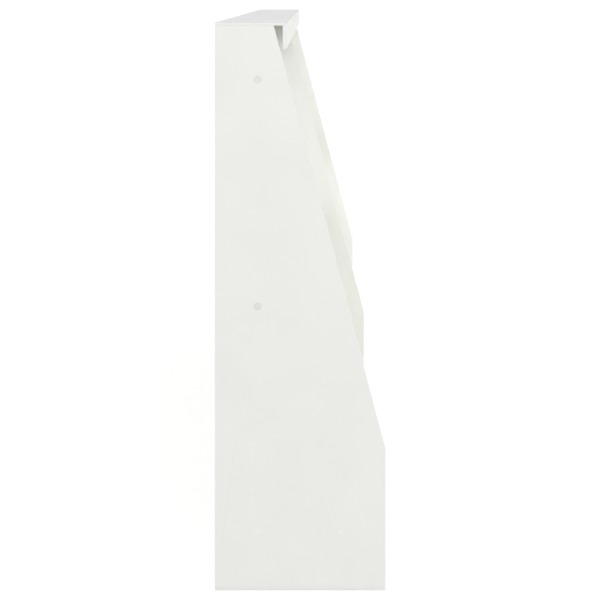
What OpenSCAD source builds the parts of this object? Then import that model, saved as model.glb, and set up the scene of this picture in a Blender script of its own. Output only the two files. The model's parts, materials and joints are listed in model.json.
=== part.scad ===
// Secretary desk with three sloping uprights and two bays.
// The left bay has a drop-front writing flap on pull-out lopers with pigeonholes behind it,
// and the right bay has two book shelves over two drawers.
// +X is the width, -Y the front and +Z up. The origin is on the floor, under the middle of the desk.
// "Depth" below always means the distance forward from the rear edges of the uprights.

/* [Case] */
// Overall width over the two outer uprights
case_w = 1500; // [1300:10:1700]
// Overall height from the floor to the top of the cap board
case_h = 1500; // [1460:5:1560]
// Depth of an upright at its foot
case_d = 450; // [435:1:480]
// Height of the upright's vertical front, below the slope
foot_h = 372; // [350:1:390]
// Depth of an upright at its top end
crown_d = 155; // [150:1:165]
// Thickness of the uprights, shelves, flap and drawer fronts
board_t = 18; // [16:0.5:20]
// Radius of the eased front edges
edge_r = 1.5; // [0.5:0.25:3]
// How far the fronts stand back from the slope, measured level
front_setback = 57; // [50:1:64]

/* [Cap board] */
// Thickness of the cap board
cap_t = 8; // [7:0.5:12]
// Thickness of the drop lip
lip_t = 10; // [8:0.5:14]
// Height of the drop lip, with the cap board's thickness
lip_h = 70; // [55:1:78]
// Gap between the uprights' top corners and the lip
lip_gap = 24; // [20:1:36]

/* [Levels] */
// Height of the writing surface
worktop_h = 759; // [735:1:780]
// Height of the bottom shelf's upper face
bottom_h = 164; // [130:1:176]
// How far the closed flap stands up in front of the upper rail
flap_lap = 23; // [20:0.5:30]
// Height of an upper rail
rail_h = 80; // [64:1:92]
// Thickness of an upper rail
rail_t = 16; // [15:0.5:18]
// Clear height from the upper shelves to the upper rails
shelf_drop = 127; // [100:1:180]
// Height of the left bay's lower shelf, at its upper face
lower_shelf_h = 460; // [400:1:560]

/* [Back] */
// Thickness of the back panels
back_t = 3; // [2.5:0.1:4]
// Distance of the back panels in from the uprights' rear edges
back_inset = 12; // [10:0.5:18]
// Depth of the grooves that hold the back panels
back_groove = 6; // [4:0.5:6.5]

/* [Organiser] */
// Thickness of the organiser's shelves and dividers
organiser_t = 12; // [10:0.5:15]
// Clear distance from the organiser's front edges to the closed flap
organiser_clear = 6; // [5:0.5:12]

/* [Flap] */
// Gap between the flap and the worktop at the hinge line
hinge_gap = 0.6; // [0.4:0.1:1]
// Clearance at each end of the flap
flap_side = 2; // [1:0.25:4]
// Length of a hinge
hinge_l = 60; // [50:1:80]
// Distance of the outer hinges from the middle of the flap
hinge_spread = 260; // [200:5:270]
// Width of a hinge leaf
leaf_w = 15; // [13:0.5:15.5]
// Thickness of a hinge leaf
leaf_t = 1.5; // [1.2:0.1:2]
// Radius of the hinge knuckles
knuckle_r = 3.4; // [3:0.1:4]
// Radius of the hinge pins
hinge_pin_r = 1.5; // [1.2:0.1:1.8]

/* [Lopers] */
// Height of a loper
loper_h = 45; // [36:1:60]
// Thickness of a loper
loper_t = 18; // [16:0.5:22]
// Free space behind a closed loper
loper_rear = 20; // [12:1:30]
// Travel of a loper, from closed until its stop screw meets its guide
loper_travel = 150; // [130:1:155]
// Thickness of the guides on the lopers' inner sides
guide_t = 16; // [12:0.5:20]

/* [Drawers] */
// Height of a drawer front
drawer_front_h = 170; // [150:1:180]
// Gap round the drawer fronts
drawer_gap = 2; // [1.5:0.25:4]
// Height of a drawer side
drawer_side_h = 140; // [110:1:145]
// Thickness of a drawer's sides and back
drawer_side_t = 15; // [13:0.5:16]
// Thickness of a drawer bottom
drawer_bottom_t = 3; // [2.5:0.1:4]
// Height of a drawer bottom above the lower edge of the sides
drawer_bottom_rise = 10; // [8:0.5:15]
// Free space behind a closed drawer
drawer_rear = 10; // [6:1:20]
// Depth of the housings and grooves that join a drawer's pieces
drawer_groove = 6; // [4:0.5:6.5]

/* [Runners] */
// Height of the runner strips for the drawers and lopers
runner_h = 10; // [8:0.5:12]
// Depth of the runner strips inside their grooves
runner_reach = 6; // [5:0.25:7]
// Running gap between a sliding piece and the upright beside it
runner_side = 1; // [0.75:0.25:1.5]

/* [Knobs] */
// Radius of the knobs on the flap and drawers
knob_r = 15; // [12:0.5:18]
// Height of the knobs on the flap and drawers
knob_h = 24; // [20:0.5:26]
// Radius of the loper knobs
loper_knob_r = 8; // [6.5:0.5:9]
// Height of the loper knobs
loper_knob_h = 16; // [14:0.5:20]

/* [Fixings] */
// Depth of the rear line of side fixings
fix_d = 113; // [105:1:118]
// Depth of the front fixing of the bottom shelf
fix_front_d = 331; // [300:1:380]
// Radius of the stick-on screw covers
cover_r = 10.25; // [8:0.25:12]
// Thickness of the stick-on screw covers
cover_t = 0.6; // [0.4:0.1:1.2]
// Radius of the wooden dowels
dowel_r = 4; // [3:0.5:5]
// Length of a dowel inside a shelf
dowel_bite = 20; // [15:1:25]
// Distance from a shelf's end to the centre of its cam lock
cam_reach = 34; // [24:1:40]
// Radius of a cam lock
cam_r = 7.5; // [6:0.25:8]
// Radius of a shelf pin
pin_r = 2.5; // [2:0.25:3]
// Distance between holes in a row of shelf pin holes
hole_pitch = 32; // [25:1:40]

/* [Clearances] */
// Clearance where a piece slides or hangs
slip = 0.3; // [0.2:0.05:0.5]
// Clearance where a piece sits in a bore or a groove
seat = 0.1; // [0.05:0.01:0.15]

/* [Hidden] */
$fn = 48;

white = "#f3f4ef";
steel = "#b9bcc0";
brass = "#c9a763";
beech = "#dcc39a";

LEFT = 0;
RIGHT = 1;
eps = 0.01;  // lets a cut pass the face that it opens

// Slope and fronts
upright_h = case_h - cap_t;
slope_run = (case_d - crown_d) / (upright_h - foot_h);
slant = atan(slope_run);
function slope_d(z) = case_d - (z - foot_h) * slope_run;
function front_d(z) = slope_d(z) - front_setback;
function y_at(d) = case_d / 2 - d;

// Bays, numbered LEFT and RIGHT, and the rear edge that all inner boards share
bay_w = (case_w - 3 * board_t) / 2;
bay_x = [-case_w / 2 + board_t, board_t / 2];
board_d = back_inset + back_t + 2 * seat + slip;

// Cap board
cap_d = crown_d + lip_gap + lip_t;

// Drop flap: its inner face meets the writing surface on the hinge line and, closed, leans on the
// upper rail, which gives the rail its height
hinge_d = front_d(worktop_h) - board_t / cos(slant);
function flap_inner_d(z) = hinge_d - (z - worktop_h) * slope_run;
rail_front_d = fix_d + rail_t / 2;
flap_l = (hinge_d - rail_front_d - slip) / sin(slant);
rail_low_z = worktop_h + flap_l * cos(slant) - flap_lap;

// Heights of the boards that the side fixings go into
fix_low_z = bottom_h - board_t / 2;
fix_mid_z = worktop_h - board_t / 2;
fix_top_z = rail_low_z + rail_h / 2;
fixings = [[fix_d, fix_low_z], [fix_front_d, fix_low_z], [fix_d, fix_mid_z], [fix_d, fix_top_z]];
worktop_dowel_d = 205;
shelf_dowel_d = 222;
rail_dowel_z = 24;
dowel_spots = [
    [worktop_dowel_d, fix_mid_z], [shelf_dowel_d, fix_low_z],
    [fix_d, fix_top_z - rail_dowel_z], [fix_d, fix_top_z + rail_dowel_z]
];
dowel_blind = 10;

// Flap fittings
flap_w = bay_w - 2 * flap_side;
bay_mid = [bay_x[LEFT] + bay_w / 2, bay_x[RIGHT] + bay_w / 2];
hinge_xs = [for (i = [-1:1]) bay_mid[LEFT] + i * hinge_spread];
knuckle_n = 5;
leaf_screw_xs = [-0.34 * hinge_l, 0, 0.34 * hinge_l];
leaf_screw_r = 1;
leaf_screw_head_r = 2.4;
leaf_screw_l = 14;
leaf_screw_drop = 0.62 * leaf_w;
flap_knob_drop = 60;

// Magnetic catch, a wedge on the front of the left upper rail
catch_w = 50;
catch_h = 16;
catch_rise = 2;
strike_w = 40;
strike_h = 12;
strike_t = 1.2;

// Shelves as [height of the upper face, thickness, depth of the front edge]
shelf_high_z = rail_low_z - shelf_drop;
shelf_mid_z = (worktop_h + shelf_high_z) / 2;
organiser_low = [shelf_mid_z, organiser_t, flap_inner_d(shelf_mid_z) - organiser_clear];
organiser_top = [shelf_high_z, organiser_t, flap_inner_d(shelf_high_z) - organiser_clear];
lower = [lower_shelf_h, board_t, front_d(lower_shelf_h)];
book_low = [shelf_mid_z, board_t, front_d(shelf_mid_z)];
book_top = [shelf_high_z, board_t, front_d(shelf_high_z)];
bay_shelves = [[organiser_low, organiser_top, lower], [book_low, book_top]];
shelf_side = 0.5;
pin_inset = 35;
pin_hole_l = 8;
pin_in_l = 7.5;
pin_out_l = 8;
pin_collar_r = 1.6 * pin_r;
pin_collar_t = 1;

// Sliding pieces
runner_t = runner_side + runner_reach - slip;
groove_h = runner_h + 2 * slip;
loper_z = worktop_h - board_t - slip - loper_h;
loper_front_d = hinge_d - hinge_gap / 2;
loper_rear_d = board_d + loper_rear;
loper_runner_z = loper_z + loper_h / 2;
loper_inner = runner_side + loper_t;
stop_in = 10;
stop_drop = 23;
stop_screw_l = loper_t - runner_reach - 2;
stop_block_h = 32;
guide_h = 14;
guide_screw_in = 15;
drawer_face_d = front_d(worktop_h);
drawer_back_d = board_d + drawer_rear;
drawer_rear_face_d = drawer_face_d - board_t;
drawer_box_rise = 15;
drawer_runner_rise = 84;
drawer_tongue = 7;
drawer_dado = 4;
drawer_back_in = 10;
drawer_x0 = bay_x[RIGHT] + runner_side;
drawer_w = bay_w - 2 * runner_side;
function drawer_z(i) = worktop_h - board_t - (i + 1) * (drawer_gap + drawer_front_h);
function drawer_runner_z(i) = drawer_z(i) + drawer_box_rise + drawer_runner_rise;
runner_rear = 4;
runner_front = 20;
runner_screw_in = 30;

// Small fixings
confirmat_head_r = 5;
confirmat_head_t = 4;
confirmat_shank_r = 3.5;
confirmat_core_r = 2.5;
confirmat_core_l = 32;
confirmat_sink = 0.2;
socket_r = 2.3;
socket_l = 2.5;
cam_depth = 13;
cam_cross_w = 1.2;
cam_cross_t = 1.5;
bolt_r = 3;
bolt_neck_r = 1.8;
bolt_neck_l = 6;
bolt_head_t = 2.5;
bracket_leg = 25;
bracket_w = 16;
bracket_t = 2;
bracket_d = 70;
bracket_bite = 6;
wall_leg = 30;
wall_hole_r = 2.75;
wall_hole_drop = 20;
screw_head_r = 3.5;
screw_head_t = 2;
cross_w = 0.8;
cross_t = 1;
screw_core_r = 1.5;
screw_bite = 12;
knob_stud_r = 2;
knob_stud_l = 14;
divider_n = 3;
divider_dowel_r = 3;
divider_dowel_bite = 8;
divider_dowel_in = 30;

// Guides of the lopers
guide_z = worktop_h - board_t - guide_h;
guide_rear_d = fix_d + cam_r + 5;
guide_front_d = loper_front_d - runner_front;
stop_face_d = loper_rear_d + stop_in + screw_head_r + slip + loper_travel;

// ---- helpers -------------------------------------------------------------

// Extrudes a side view, drawn as [depth, height], along X from x0.
module side_profile(x0, w) {
    translate([x0, case_d / 2, 0]) rotate([90, 0, 90])
        linear_extrude(w) mirror([1, 0]) children();
}

// Side view of a board with both front edges eased.
module board_profile(d0, d1, z0, t, r = edge_r) {
    translate([d0, z0]) square([d1 - d0 - r, t]);
    translate([d1 - 2 * r, z0 + r]) square([2 * r, t - 2 * r]);
    for (z = [z0 + r, z0 + t - r]) translate([d1 - r, z]) circle(r);
}

// A level board in a bay, from the back panel to the depth d1.
module bay_board(bay, d1, z_top, t, side = 0) {
    side_profile(bay_x[bay] + side, bay_w - 2 * side) board_profile(board_d, d1, z_top - t, t);
}

// A bar or bore along X, from x0, at a depth and height.
module bar_x(x0, d, z, r, l) {
    translate([x0, y_at(d), z]) rotate([0, 90, 0]) cylinder(r = r, h = l);
}

// The corner that rounding a bottom front corner takes away, in a side view.
module corner_waste(r) {
    difference() {
        translate([-r, -r]) square(2 * r);
        translate([-r, r]) circle(r);
    }
}

// Draws its children for the outer end of a bay: as they are on the left, mirrored on the right.
module at_end(bay) {
    if (bay == LEFT) children();
    else mirror([1, 0, 0]) children();
}

// Countersunk wood screw along +Z, with its head's face at z = 0 and the head below the face.
module wood_screw(r, l, head_r, head_t) {
    cylinder(r1 = head_r, r2 = r, h = head_t);
    cylinder(r = r, h = l);
}

// Pan-head screw along +Z, seated at z = 0.
module pan_screw(l) {
    difference() {
        translate([0, 0, -screw_head_t]) cylinder(r = screw_head_r, h = screw_head_t);
        for (a = [0, 90]) rotate(a) translate([-screw_core_r, -cross_w / 2, -screw_head_t - eps])
            cube([2 * screw_core_r, cross_w, cross_t]);
    }
    cylinder(r = screw_core_r, h = l);
}

// Turned knob along +Z: a stud in the wood, a flared foot, a neck and a head with a full-round rim.
module turned_knob(r, h) {
    neck_r = 0.42 * r;
    head_t = 0.38 * h;
    flare = 0.16 * h;
    foot_t = 0.4;
    rotate_extrude() {
        translate([0, -knob_stud_l]) square([knob_stud_r, knob_stud_l + flare]);
        square([neck_r, h - head_t / 2]);
        difference() {
            square([neck_r + flare, flare]);
            translate([neck_r + flare, flare + foot_t]) circle(flare);
        }
        translate([0, h - head_t]) square([r - head_t / 2, head_t]);
        translate([r - head_t / 2, h - head_t / 2]) circle(head_t / 2);
    }
}

// Bore for a knob's stud, from the face that the knob stands on.
module stud_bore() {
    translate([0, 0, -knob_stud_l - seat]) cylinder(r = knob_stud_r + seat, h = knob_stud_l + seat + eps);
}

// ---- uprights ------------------------------------------------------------

module upright_profile() {
    difference() {
        polygon([[0, 0], [case_d, 0], [case_d, foot_h], [crown_d, upright_h], [0, upright_h]]);
        translate([case_d, 0]) corner_waste(2 * edge_r);
    }
}

// Groove for a bay's back panel; its lower end carries the panel.
module back_groove_cut(bay) {
    translate([bay_x[bay] - back_groove, y_at(back_inset + back_t + 2 * seat), bottom_h - board_t])
        cube([bay_w + 2 * back_groove, back_t + 2 * seat, upright_h]);
}

// Rows of pin holes at both ends of each loose shelf in a bay.
module pin_holes(bay) {
    for (shelf = bay_shelves[bay], d = pin_depths(shelf), i = [-1:1])
        bar_x(bay_x[bay] - pin_hole_l, d, pin_z(shelf) + i * hole_pitch, pin_r + seat,
              bay_w + 2 * pin_hole_l);
}
function pin_z(shelf) = shelf[0] - shelf[1] - pin_r - seat;
function pin_depths(shelf) = [board_d + pin_inset, shelf[2] - pin_inset];

// Blind holes for what is screwed to the uprights inside a bay.
module bay_screw_holes(bay) {
    for (s = bay_side_screws(bay))
        bar_x(bay_x[bay] - bracket_bite, s[0], s[1], screw_core_r + seat, bay_w + 2 * bracket_bite);
}
function bay_side_screws(bay) = concat(
    [[bracket_d, upright_h - bracket_leg / 2 - bracket_t]],
    bay == LEFT ? [for (d = loper_screw_ds) [d, loper_runner_z]]
                : [for (i = [0, 1], d = drawer_screw_ds) [d, drawer_runner_z(i)]]
);
loper_runner_span = [loper_rear_d + runner_rear, loper_front_d - runner_front];
drawer_runner_span = [drawer_back_d + runner_rear, drawer_rear_face_d - runner_front];
loper_screw_ds = [loper_runner_span[0] + runner_screw_in, loper_runner_span[1] - runner_screw_in];
drawer_screw_ds = [drawer_runner_span[0] + runner_screw_in, drawer_runner_span[1] - runner_screw_in];

// An outer upright with its screw and dowel holes, drawn as the left one.
module outer_upright() {
    x0 = -case_w / 2;
    difference() {
        side_profile(x0, board_t) upright_profile();
        for (f = fixings) {
            bar_x(x0 - eps, f[0], f[1], confirmat_shank_r + seat, board_t + 2 * eps);
            bar_x(x0 - eps, f[0], f[1], confirmat_head_r + seat, confirmat_head_t + confirmat_sink);
        }
        for (s = dowel_spots)
            bar_x(x0 + board_t - dowel_blind, s[0], s[1], dowel_r + seat, dowel_blind + eps);
    }
}

module upright_left() {
    color(white) difference() {
        outer_upright();
        back_groove_cut(LEFT);
        pin_holes(LEFT);
        bay_screw_holes(LEFT);
    }
}

module upright_right() {
    color(white) difference() {
        mirror([1, 0, 0]) outer_upright();
        back_groove_cut(RIGHT);
        pin_holes(RIGHT);
        bay_screw_holes(RIGHT);
    }
}

module upright_middle() {
    color(white) difference() {
        side_profile(-board_t / 2, board_t) upright_profile();
        for (f = fixings)
            bar_x(-board_t, f[0], f[1], bolt_r + seat, 2 * board_t);
        for (s = dowel_spots)
            bar_x(-board_t, s[0], s[1], dowel_r + seat, 2 * board_t);
        for (bay = [LEFT, RIGHT]) {
            back_groove_cut(bay);
            pin_holes(bay);
            bay_screw_holes(bay);
        }
    }
}

// ---- cap board -----------------------------------------------------------

// Screw holes in the cap board's underside, one for each bracket.
function cap_screws() = concat(
    [for (bay = [LEFT, RIGHT], side = [0, 1])
        [bracket_x(bay, side) + (1 - 2 * side) * (bracket_leg / 2 + bracket_t), bracket_d]],
    [for (bay = [LEFT, RIGHT]) [bay_mid[bay], board_d + bracket_leg / 2 + bracket_t]]
);
function bracket_x(bay, side) = bay_x[bay] + side * bay_w;

module top_panel() {
    mitre_d = cap_d - lip_t;
    color(white) difference() {
        side_profile(-case_w / 2, case_w)
            polygon([[0, upright_h], [mitre_d, upright_h], [cap_d, case_h], [0, case_h]]);
        for (s = cap_screws())
            translate([s[0], y_at(s[1]), upright_h - eps])
                cylinder(r = screw_core_r + seat, h = bracket_bite + seat);
    }
}

// The lip is glued to the cap board on a mitre that ends in its top corner.
module top_lip() {
    color(white) side_profile(-case_w / 2, case_w) difference() {
        translate([cap_d - lip_t, case_h - lip_h]) square([lip_t, lip_h]);
        polygon([[0, upright_h], [cap_d - lip_t, upright_h], [cap_d, case_h], [0, case_h]]);
        translate([cap_d, case_h - lip_h]) corner_waste(edge_r);
    }
}

// ---- backs and fixed boards ----------------------------------------------

module back_panel(bay) {
    side = back_groove - 5 * seat;
    color(white) difference() {
        translate([bay_x[bay] - side, y_at(back_inset + back_t + seat), bottom_h - board_t])
            cube([bay_w + 2 * side, back_t, upright_h - bottom_h + board_t - slip]);
        translate([bay_mid[bay], y_at(back_inset), upright_h - wall_hole_drop]) rotate([90, 0, 0])
            cylinder(r = wall_hole_r + 5 * seat, h = 2 * back_t);
    }
}

// Bores in a fixed board's ends for its confirmat, cam bolt and dowels, and its cam lock's seat.
module end_bores(bay, spots, dowels, t, cam_turn) {
    at_end(bay) {
        for (f = spots) {
            bar_x(bay_x[LEFT] - eps, f[0], f[1], confirmat_core_r + seat, confirmat_core_l + slip);
            bar_x(-board_t / 2 - cam_reach, f[0], f[1], bolt_r + seat, cam_reach + eps);
            cam_place(f, t, cam_turn) translate([0, 0, -eps]) cylinder(r = cam_r, h = cam_depth + eps);
        }
        for (s = dowels) {
            bar_x(bay_x[LEFT] - eps, s[0], s[1], dowel_r + seat, dowel_bite + slip);
            bar_x(-board_t / 2 - dowel_bite - slip, s[0], s[1], dowel_r + seat, dowel_bite + 1);
        }
    }
}

// Puts a cam lock's +Z into a left bay board: up from below, or forward from the rear face.
module cam_place(f, t, cam_turn) {
    translate([-board_t / 2 - cam_reach, y_at(f[0]), f[1]]) rotate([cam_turn, 0, 0])
        translate([0, 0, -t / 2]) children();
}

module bottom_shelf(bay) {
    color(white) difference() {
        bay_board(bay, case_d - 2 * edge_r, bottom_h, board_t);
        end_bores(bay, [fixings[0], fixings[1]], [dowel_spots[1]], board_t, 0);
    }
}

module worktop(bay) {
    front = bay == LEFT ? hinge_d - hinge_gap / 2 : front_d(worktop_h);
    color(white) difference() {
        if (bay == LEFT)
            side_profile(bay_x[bay], bay_w)
                translate([board_d, worktop_h - board_t]) square([front - board_d, board_t]);
        else
            bay_board(bay, front, worktop_h, board_t);
        end_bores(bay, [fixings[2]], [dowel_spots[0]], board_t, 0);
        if (bay == LEFT) {
            hinge_housing();
            for (x = hinge_xs) at_hinge(x) leaf_screws(seat);
            divider_dowels(worktop_h, seat);
            both_walls(LEFT) guide_screws(seat);
        }
    }
}

module upper_rail(bay) {
    rear = fix_d - rail_t / 2;
    color(white) difference() {
        side_profile(bay_x[bay], bay_w) difference() {
            translate([rear, rail_low_z]) square([rail_t, rail_h]);
            translate([rail_front_d, rail_low_z]) corner_waste(edge_r);
            translate([rail_front_d, rail_low_z + rail_h]) mirror([0, 1]) corner_waste(edge_r);
        }
        end_bores(bay, [fixings[3]], [dowel_spots[2], dowel_spots[3]], rail_t, 90);
    }
}

// ---- fixings -------------------------------------------------------------

module cover_caps() {
    rim = 0.5 * cover_t;
    color(white) for (side = [LEFT, RIGHT], f = fixings) at_end(side)
        translate([-case_w / 2, y_at(f[0]), f[1]]) rotate([0, -90, 0]) {
            cylinder(r = cover_r, h = cover_t - rim);
            translate([0, 0, cover_t - rim]) cylinder(r1 = cover_r, r2 = cover_r - rim, h = rim);
        }
}

module confirmat_screws() {
    color(steel) for (side = [LEFT, RIGHT], f = fixings) at_end(side)
        translate([-case_w / 2 + confirmat_sink, y_at(f[0]), f[1]]) rotate([0, 90, 0]) difference() {
            union() {
                cylinder(r = confirmat_head_r, h = confirmat_head_t - seat);
                cylinder(r = confirmat_shank_r, h = board_t - confirmat_sink);
                cylinder(r = confirmat_core_r, h = board_t + confirmat_core_l - confirmat_sink);
            }
            translate([0, 0, -eps]) cylinder(r = socket_r, h = socket_l, $fn = 6);
        }
}

// Double-ended bolts through the middle upright, with a head in the cam lock on each side.
module cam_bolts() {
    head_x = board_t / 2 + cam_reach;
    color(steel) for (f = fixings) {
        bar_x(-head_x + bolt_neck_l, f[0], f[1], bolt_r, 2 * (head_x - bolt_neck_l));
        bar_x(-head_x, f[0], f[1], bolt_neck_r, 2 * head_x);
        for (x = [-head_x - bolt_head_t / 2, head_x - bolt_head_t / 2])
            bar_x(x, f[0], f[1], bolt_r, bolt_head_t);
    }
}

// A cam lock along +Z, with the slot that takes the bolt's head open towards +X.
module cam_lock(t) {
    slot = bolt_r + slip;
    height = cam_depth - seat;
    difference() {
        cylinder(r = cam_r - seat, h = height);
        translate([-slot, -slot, t / 2 - slot]) cube([2 * cam_r, 2 * slot, height]);
        for (a = [45, 135]) rotate(a) translate([-cam_r / 2, -cam_cross_w / 2, -eps])
            cube([cam_r, cam_cross_w, cam_cross_t]);
    }
}

module cam_locks() {
    color(steel) for (bay = [LEFT, RIGHT]) at_end(bay) {
        for (i = [0:2]) cam_place(fixings[i], board_t, 0) cam_lock(board_t);
        cam_place(fixings[3], rail_t, 90) cam_lock(rail_t);
    }
}

module dowels() {
    color(beech) {
        for (s = dowel_spots) {
            through = board_t + 2 * dowel_bite;
            bar_x(-through / 2, s[0], s[1], dowel_r, through);
            for (side = [LEFT, RIGHT]) at_end(side)
                bar_x(bay_x[LEFT] - dowel_blind + seat, s[0], s[1], dowel_r,
                      dowel_blind + dowel_bite - seat);
        }
        divider_dowels(worktop_h, 0);
        divider_dowels(shelf_mid_z - organiser_t, 0);
    }
}

// L-shaped steel bracket in a corner at the origin: one leg along +X, the other along -Z.
module angle_bracket(leg_x, leg_z, w) {
    difference() {
        rotate([90, 0, 0]) translate([0, 0, -w / 2]) linear_extrude(w) {
            translate([0, -bracket_t]) square([leg_x, bracket_t]);
            translate([0, -leg_z]) square([bracket_t, leg_z]);
        }
        translate([bracket_leg / 2 + bracket_t, 0, -2 * bracket_t])
            cylinder(r = screw_core_r + 5 * seat, h = 4 * bracket_t);
        children();
    }
}

module corner_brackets() {
    color(steel) for (bay = [LEFT, RIGHT], side = [0, 1])
        translate([bracket_x(bay, side), y_at(bracket_d), upright_h]) rotate(180 * side)
            angle_bracket(bracket_leg, bracket_leg, bracket_w)
                translate([-bracket_t, 0, -bracket_leg / 2 - bracket_t]) rotate([0, 90, 0])
                    cylinder(r = screw_core_r + 5 * seat, h = 4 * bracket_t);
}

// Brackets behind the cap board that are screwed through the back panel to a wall.
module wall_brackets() {
    color(steel) for (bay = [LEFT, RIGHT])
        translate([bay_mid[bay], y_at(board_d), upright_h]) rotate(-90)
            angle_bracket(bracket_leg, wall_leg, 1.25 * bracket_w)
                translate([-bracket_t, 0, -wall_hole_drop]) rotate([0, 90, 0])
                    cylinder(r = wall_hole_r, h = 4 * bracket_t);
}

module bracket_screws() {
    color(steel) {
        for (s = cap_screws())
            translate([s[0], y_at(s[1]), upright_h - bracket_t]) pan_screw(bracket_bite + bracket_t);
        for (bay = [LEFT, RIGHT], side = [0, 1])
            translate([bracket_x(bay, side), y_at(bracket_d), upright_h]) rotate(180 * side)
                translate([bracket_t, 0, -bracket_leg / 2 - bracket_t]) rotate([0, -90, 0])
                    pan_screw(bracket_bite + bracket_t - seat);
    }
}

// ---- loose shelves and organiser -----------------------------------------

module loose_shelf(bay, shelf) {
    color(white) bay_board(bay, shelf[2], shelf[0], shelf[1], shelf_side);
}

module organiser_shelf_lower() {
    color(white) difference() {
        bay_board(LEFT, organiser_low[2], shelf_mid_z, organiser_t, shelf_side);
        divider_dowels(shelf_mid_z - organiser_t, seat);
    }
}

divider_gap = (bay_w - divider_n * organiser_t) / (divider_n + 1);
function divider_x(i) = bay_x[LEFT] + i * divider_gap + (i - 1) * organiser_t;
divider_dowel_ds = [board_d + divider_dowel_in, organiser_low[2] - divider_dowel_in];

// Short dowels above and below a height, in every divider.
module divider_dowels(z, gap) {
    for (i = [1:divider_n], d = divider_dowel_ds)
        translate([divider_x(i) + organiser_t / 2, y_at(d), z - divider_dowel_bite - gap])
            cylinder(r = divider_dowel_r + gap, h = 2 * (divider_dowel_bite + gap));
}

// A divider with its front edge parallel to the closed flap.
module divider(i) {
    z1 = shelf_mid_z - organiser_t;
    color(white) difference() {
        side_profile(divider_x(i), organiser_t) polygon([
            [board_d, worktop_h],
            [flap_inner_d(worktop_h) - organiser_clear, worktop_h],
            [flap_inner_d(z1) - organiser_clear, z1],
            [board_d, z1]
        ]);
        divider_dowels(worktop_h, seat);
        divider_dowels(z1, seat);
    }
}

module shelf_pins() {
    color(steel) for (bay = [LEFT, RIGHT], shelf = bay_shelves[bay], d = pin_depths(shelf), side = [0, 1])
        translate([bay_x[bay] + side * bay_w, y_at(d), pin_z(shelf)]) rotate([0, side ? -90 : 90, 0]) {
            translate([0, 0, -pin_in_l]) cylinder(r = pin_r, h = pin_in_l + pin_out_l);
            difference() {
                cylinder(r = pin_collar_r, h = pin_collar_t);
                translate([side ? pin_r : -pin_r - pin_collar_r, -pin_collar_r, -eps])
                    cube([pin_collar_r, 2 * pin_collar_r, 2 * pin_collar_t]);
            }
        }
}

// ---- hinges --------------------------------------------------------------

// Moves to a point of the hinge line.
module at_hinge(x) {
    translate([x, y_at(hinge_d), worktop_h]) children();
}

// Moves to the same point with +Z up the closed flap and -Y out of its front.
module in_flap(x) {
    at_hinge(x) rotate([-slant, 0, 0]) children();
}

knuckle_l = hinge_l / knuckle_n;

// Knuckles of one leaf, every second one from first.
module knuckles(first, bore_r) {
    for (i = [first:2:knuckle_n - 1])
        translate([-hinge_l / 2 + i * knuckle_l + seat, 0, 0]) rotate([0, 90, 0]) difference() {
            cylinder(r = knuckle_r, h = knuckle_l - 2 * seat);
            translate([0, 0, -eps]) cylinder(r = bore_r, h = knuckle_l);
        }
}

// A leaf below the hinge line, against the rear of the gap, cut back round the other leaf's knuckles.
module leaf(first, bore_r) {
    union() {
        difference() {
            translate([-hinge_l / 2, hinge_gap / 2, -leaf_w]) cube([hinge_l, leaf_t, leaf_w]);
            for (i = [1 - first:2:knuckle_n - 1])
                translate([-hinge_l / 2 + i * knuckle_l - seat, 0, 0]) rotate([0, 90, 0])
                    cylinder(r = knuckle_r + slip, h = knuckle_l + 2 * seat);
            rotate([0, 90, 0]) translate([0, 0, -hinge_l]) cylinder(r = bore_r + eps, h = 2 * hinge_l);
            leaf_screws(seat);
        }
        knuckles(first, bore_r);
    }
}

// Screws through a leaf into the wood behind it.
module leaf_screws(gap) {
    for (x = leaf_screw_xs)
        translate([x, hinge_gap / 2 - gap / 2, -leaf_screw_drop]) rotate([-90, 0, 0])
            wood_screw(leaf_screw_r + gap, leaf_screw_l + gap, leaf_screw_head_r + gap, leaf_t);
}

module hinge_fixed_leaves() {
    color(brass) for (x = hinge_xs) at_hinge(x) leaf(0, hinge_pin_r + 0.02);
}

module hinge_pins() {
    color(brass) for (x = hinge_xs) at_hinge(x)
        translate([-hinge_l / 2 - knuckle_r / 3, 0, 0]) rotate([0, 90, 0])
            cylinder(r = hinge_pin_r, h = hinge_l + 2 * knuckle_r / 3);
}

module hinge_fixed_screws() {
    color(brass) for (x = hinge_xs) at_hinge(x) leaf_screws(0);
}

module hinge_moving_leaves() {
    color(brass) for (x = hinge_xs) in_flap(x) flap_end() leaf(1, hinge_pin_r + 0.06);
}

module hinge_moving_screws() {
    color(brass) for (x = hinge_xs) in_flap(x) flap_end() leaf_screws(0);
}

// Turns what is drawn in the worktop's edge so that it lies in the closed flap's end.
module flap_end() {
    rotate([-90, 0, 0]) mirror([0, 1, 0]) children();
}

// Housings in the worktop's edge for the fixed leaves and the knuckles.
module hinge_housing() {
    for (x = hinge_xs) at_hinge(x) leaf_housing();
}

module leaf_housing() {
    translate([-hinge_l / 2 - seat, 0, -leaf_w - seat])
        cube([hinge_l + 2 * seat, hinge_gap / 2 + leaf_t + seat, leaf_w + 1]);
    rotate([0, 90, 0]) translate([0, 0, -hinge_l / 2 - knuckle_r / 2])
        cylinder(r = knuckle_r + slip, h = hinge_l + knuckle_r);
}

// ---- flap ----------------------------------------------------------------

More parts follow.
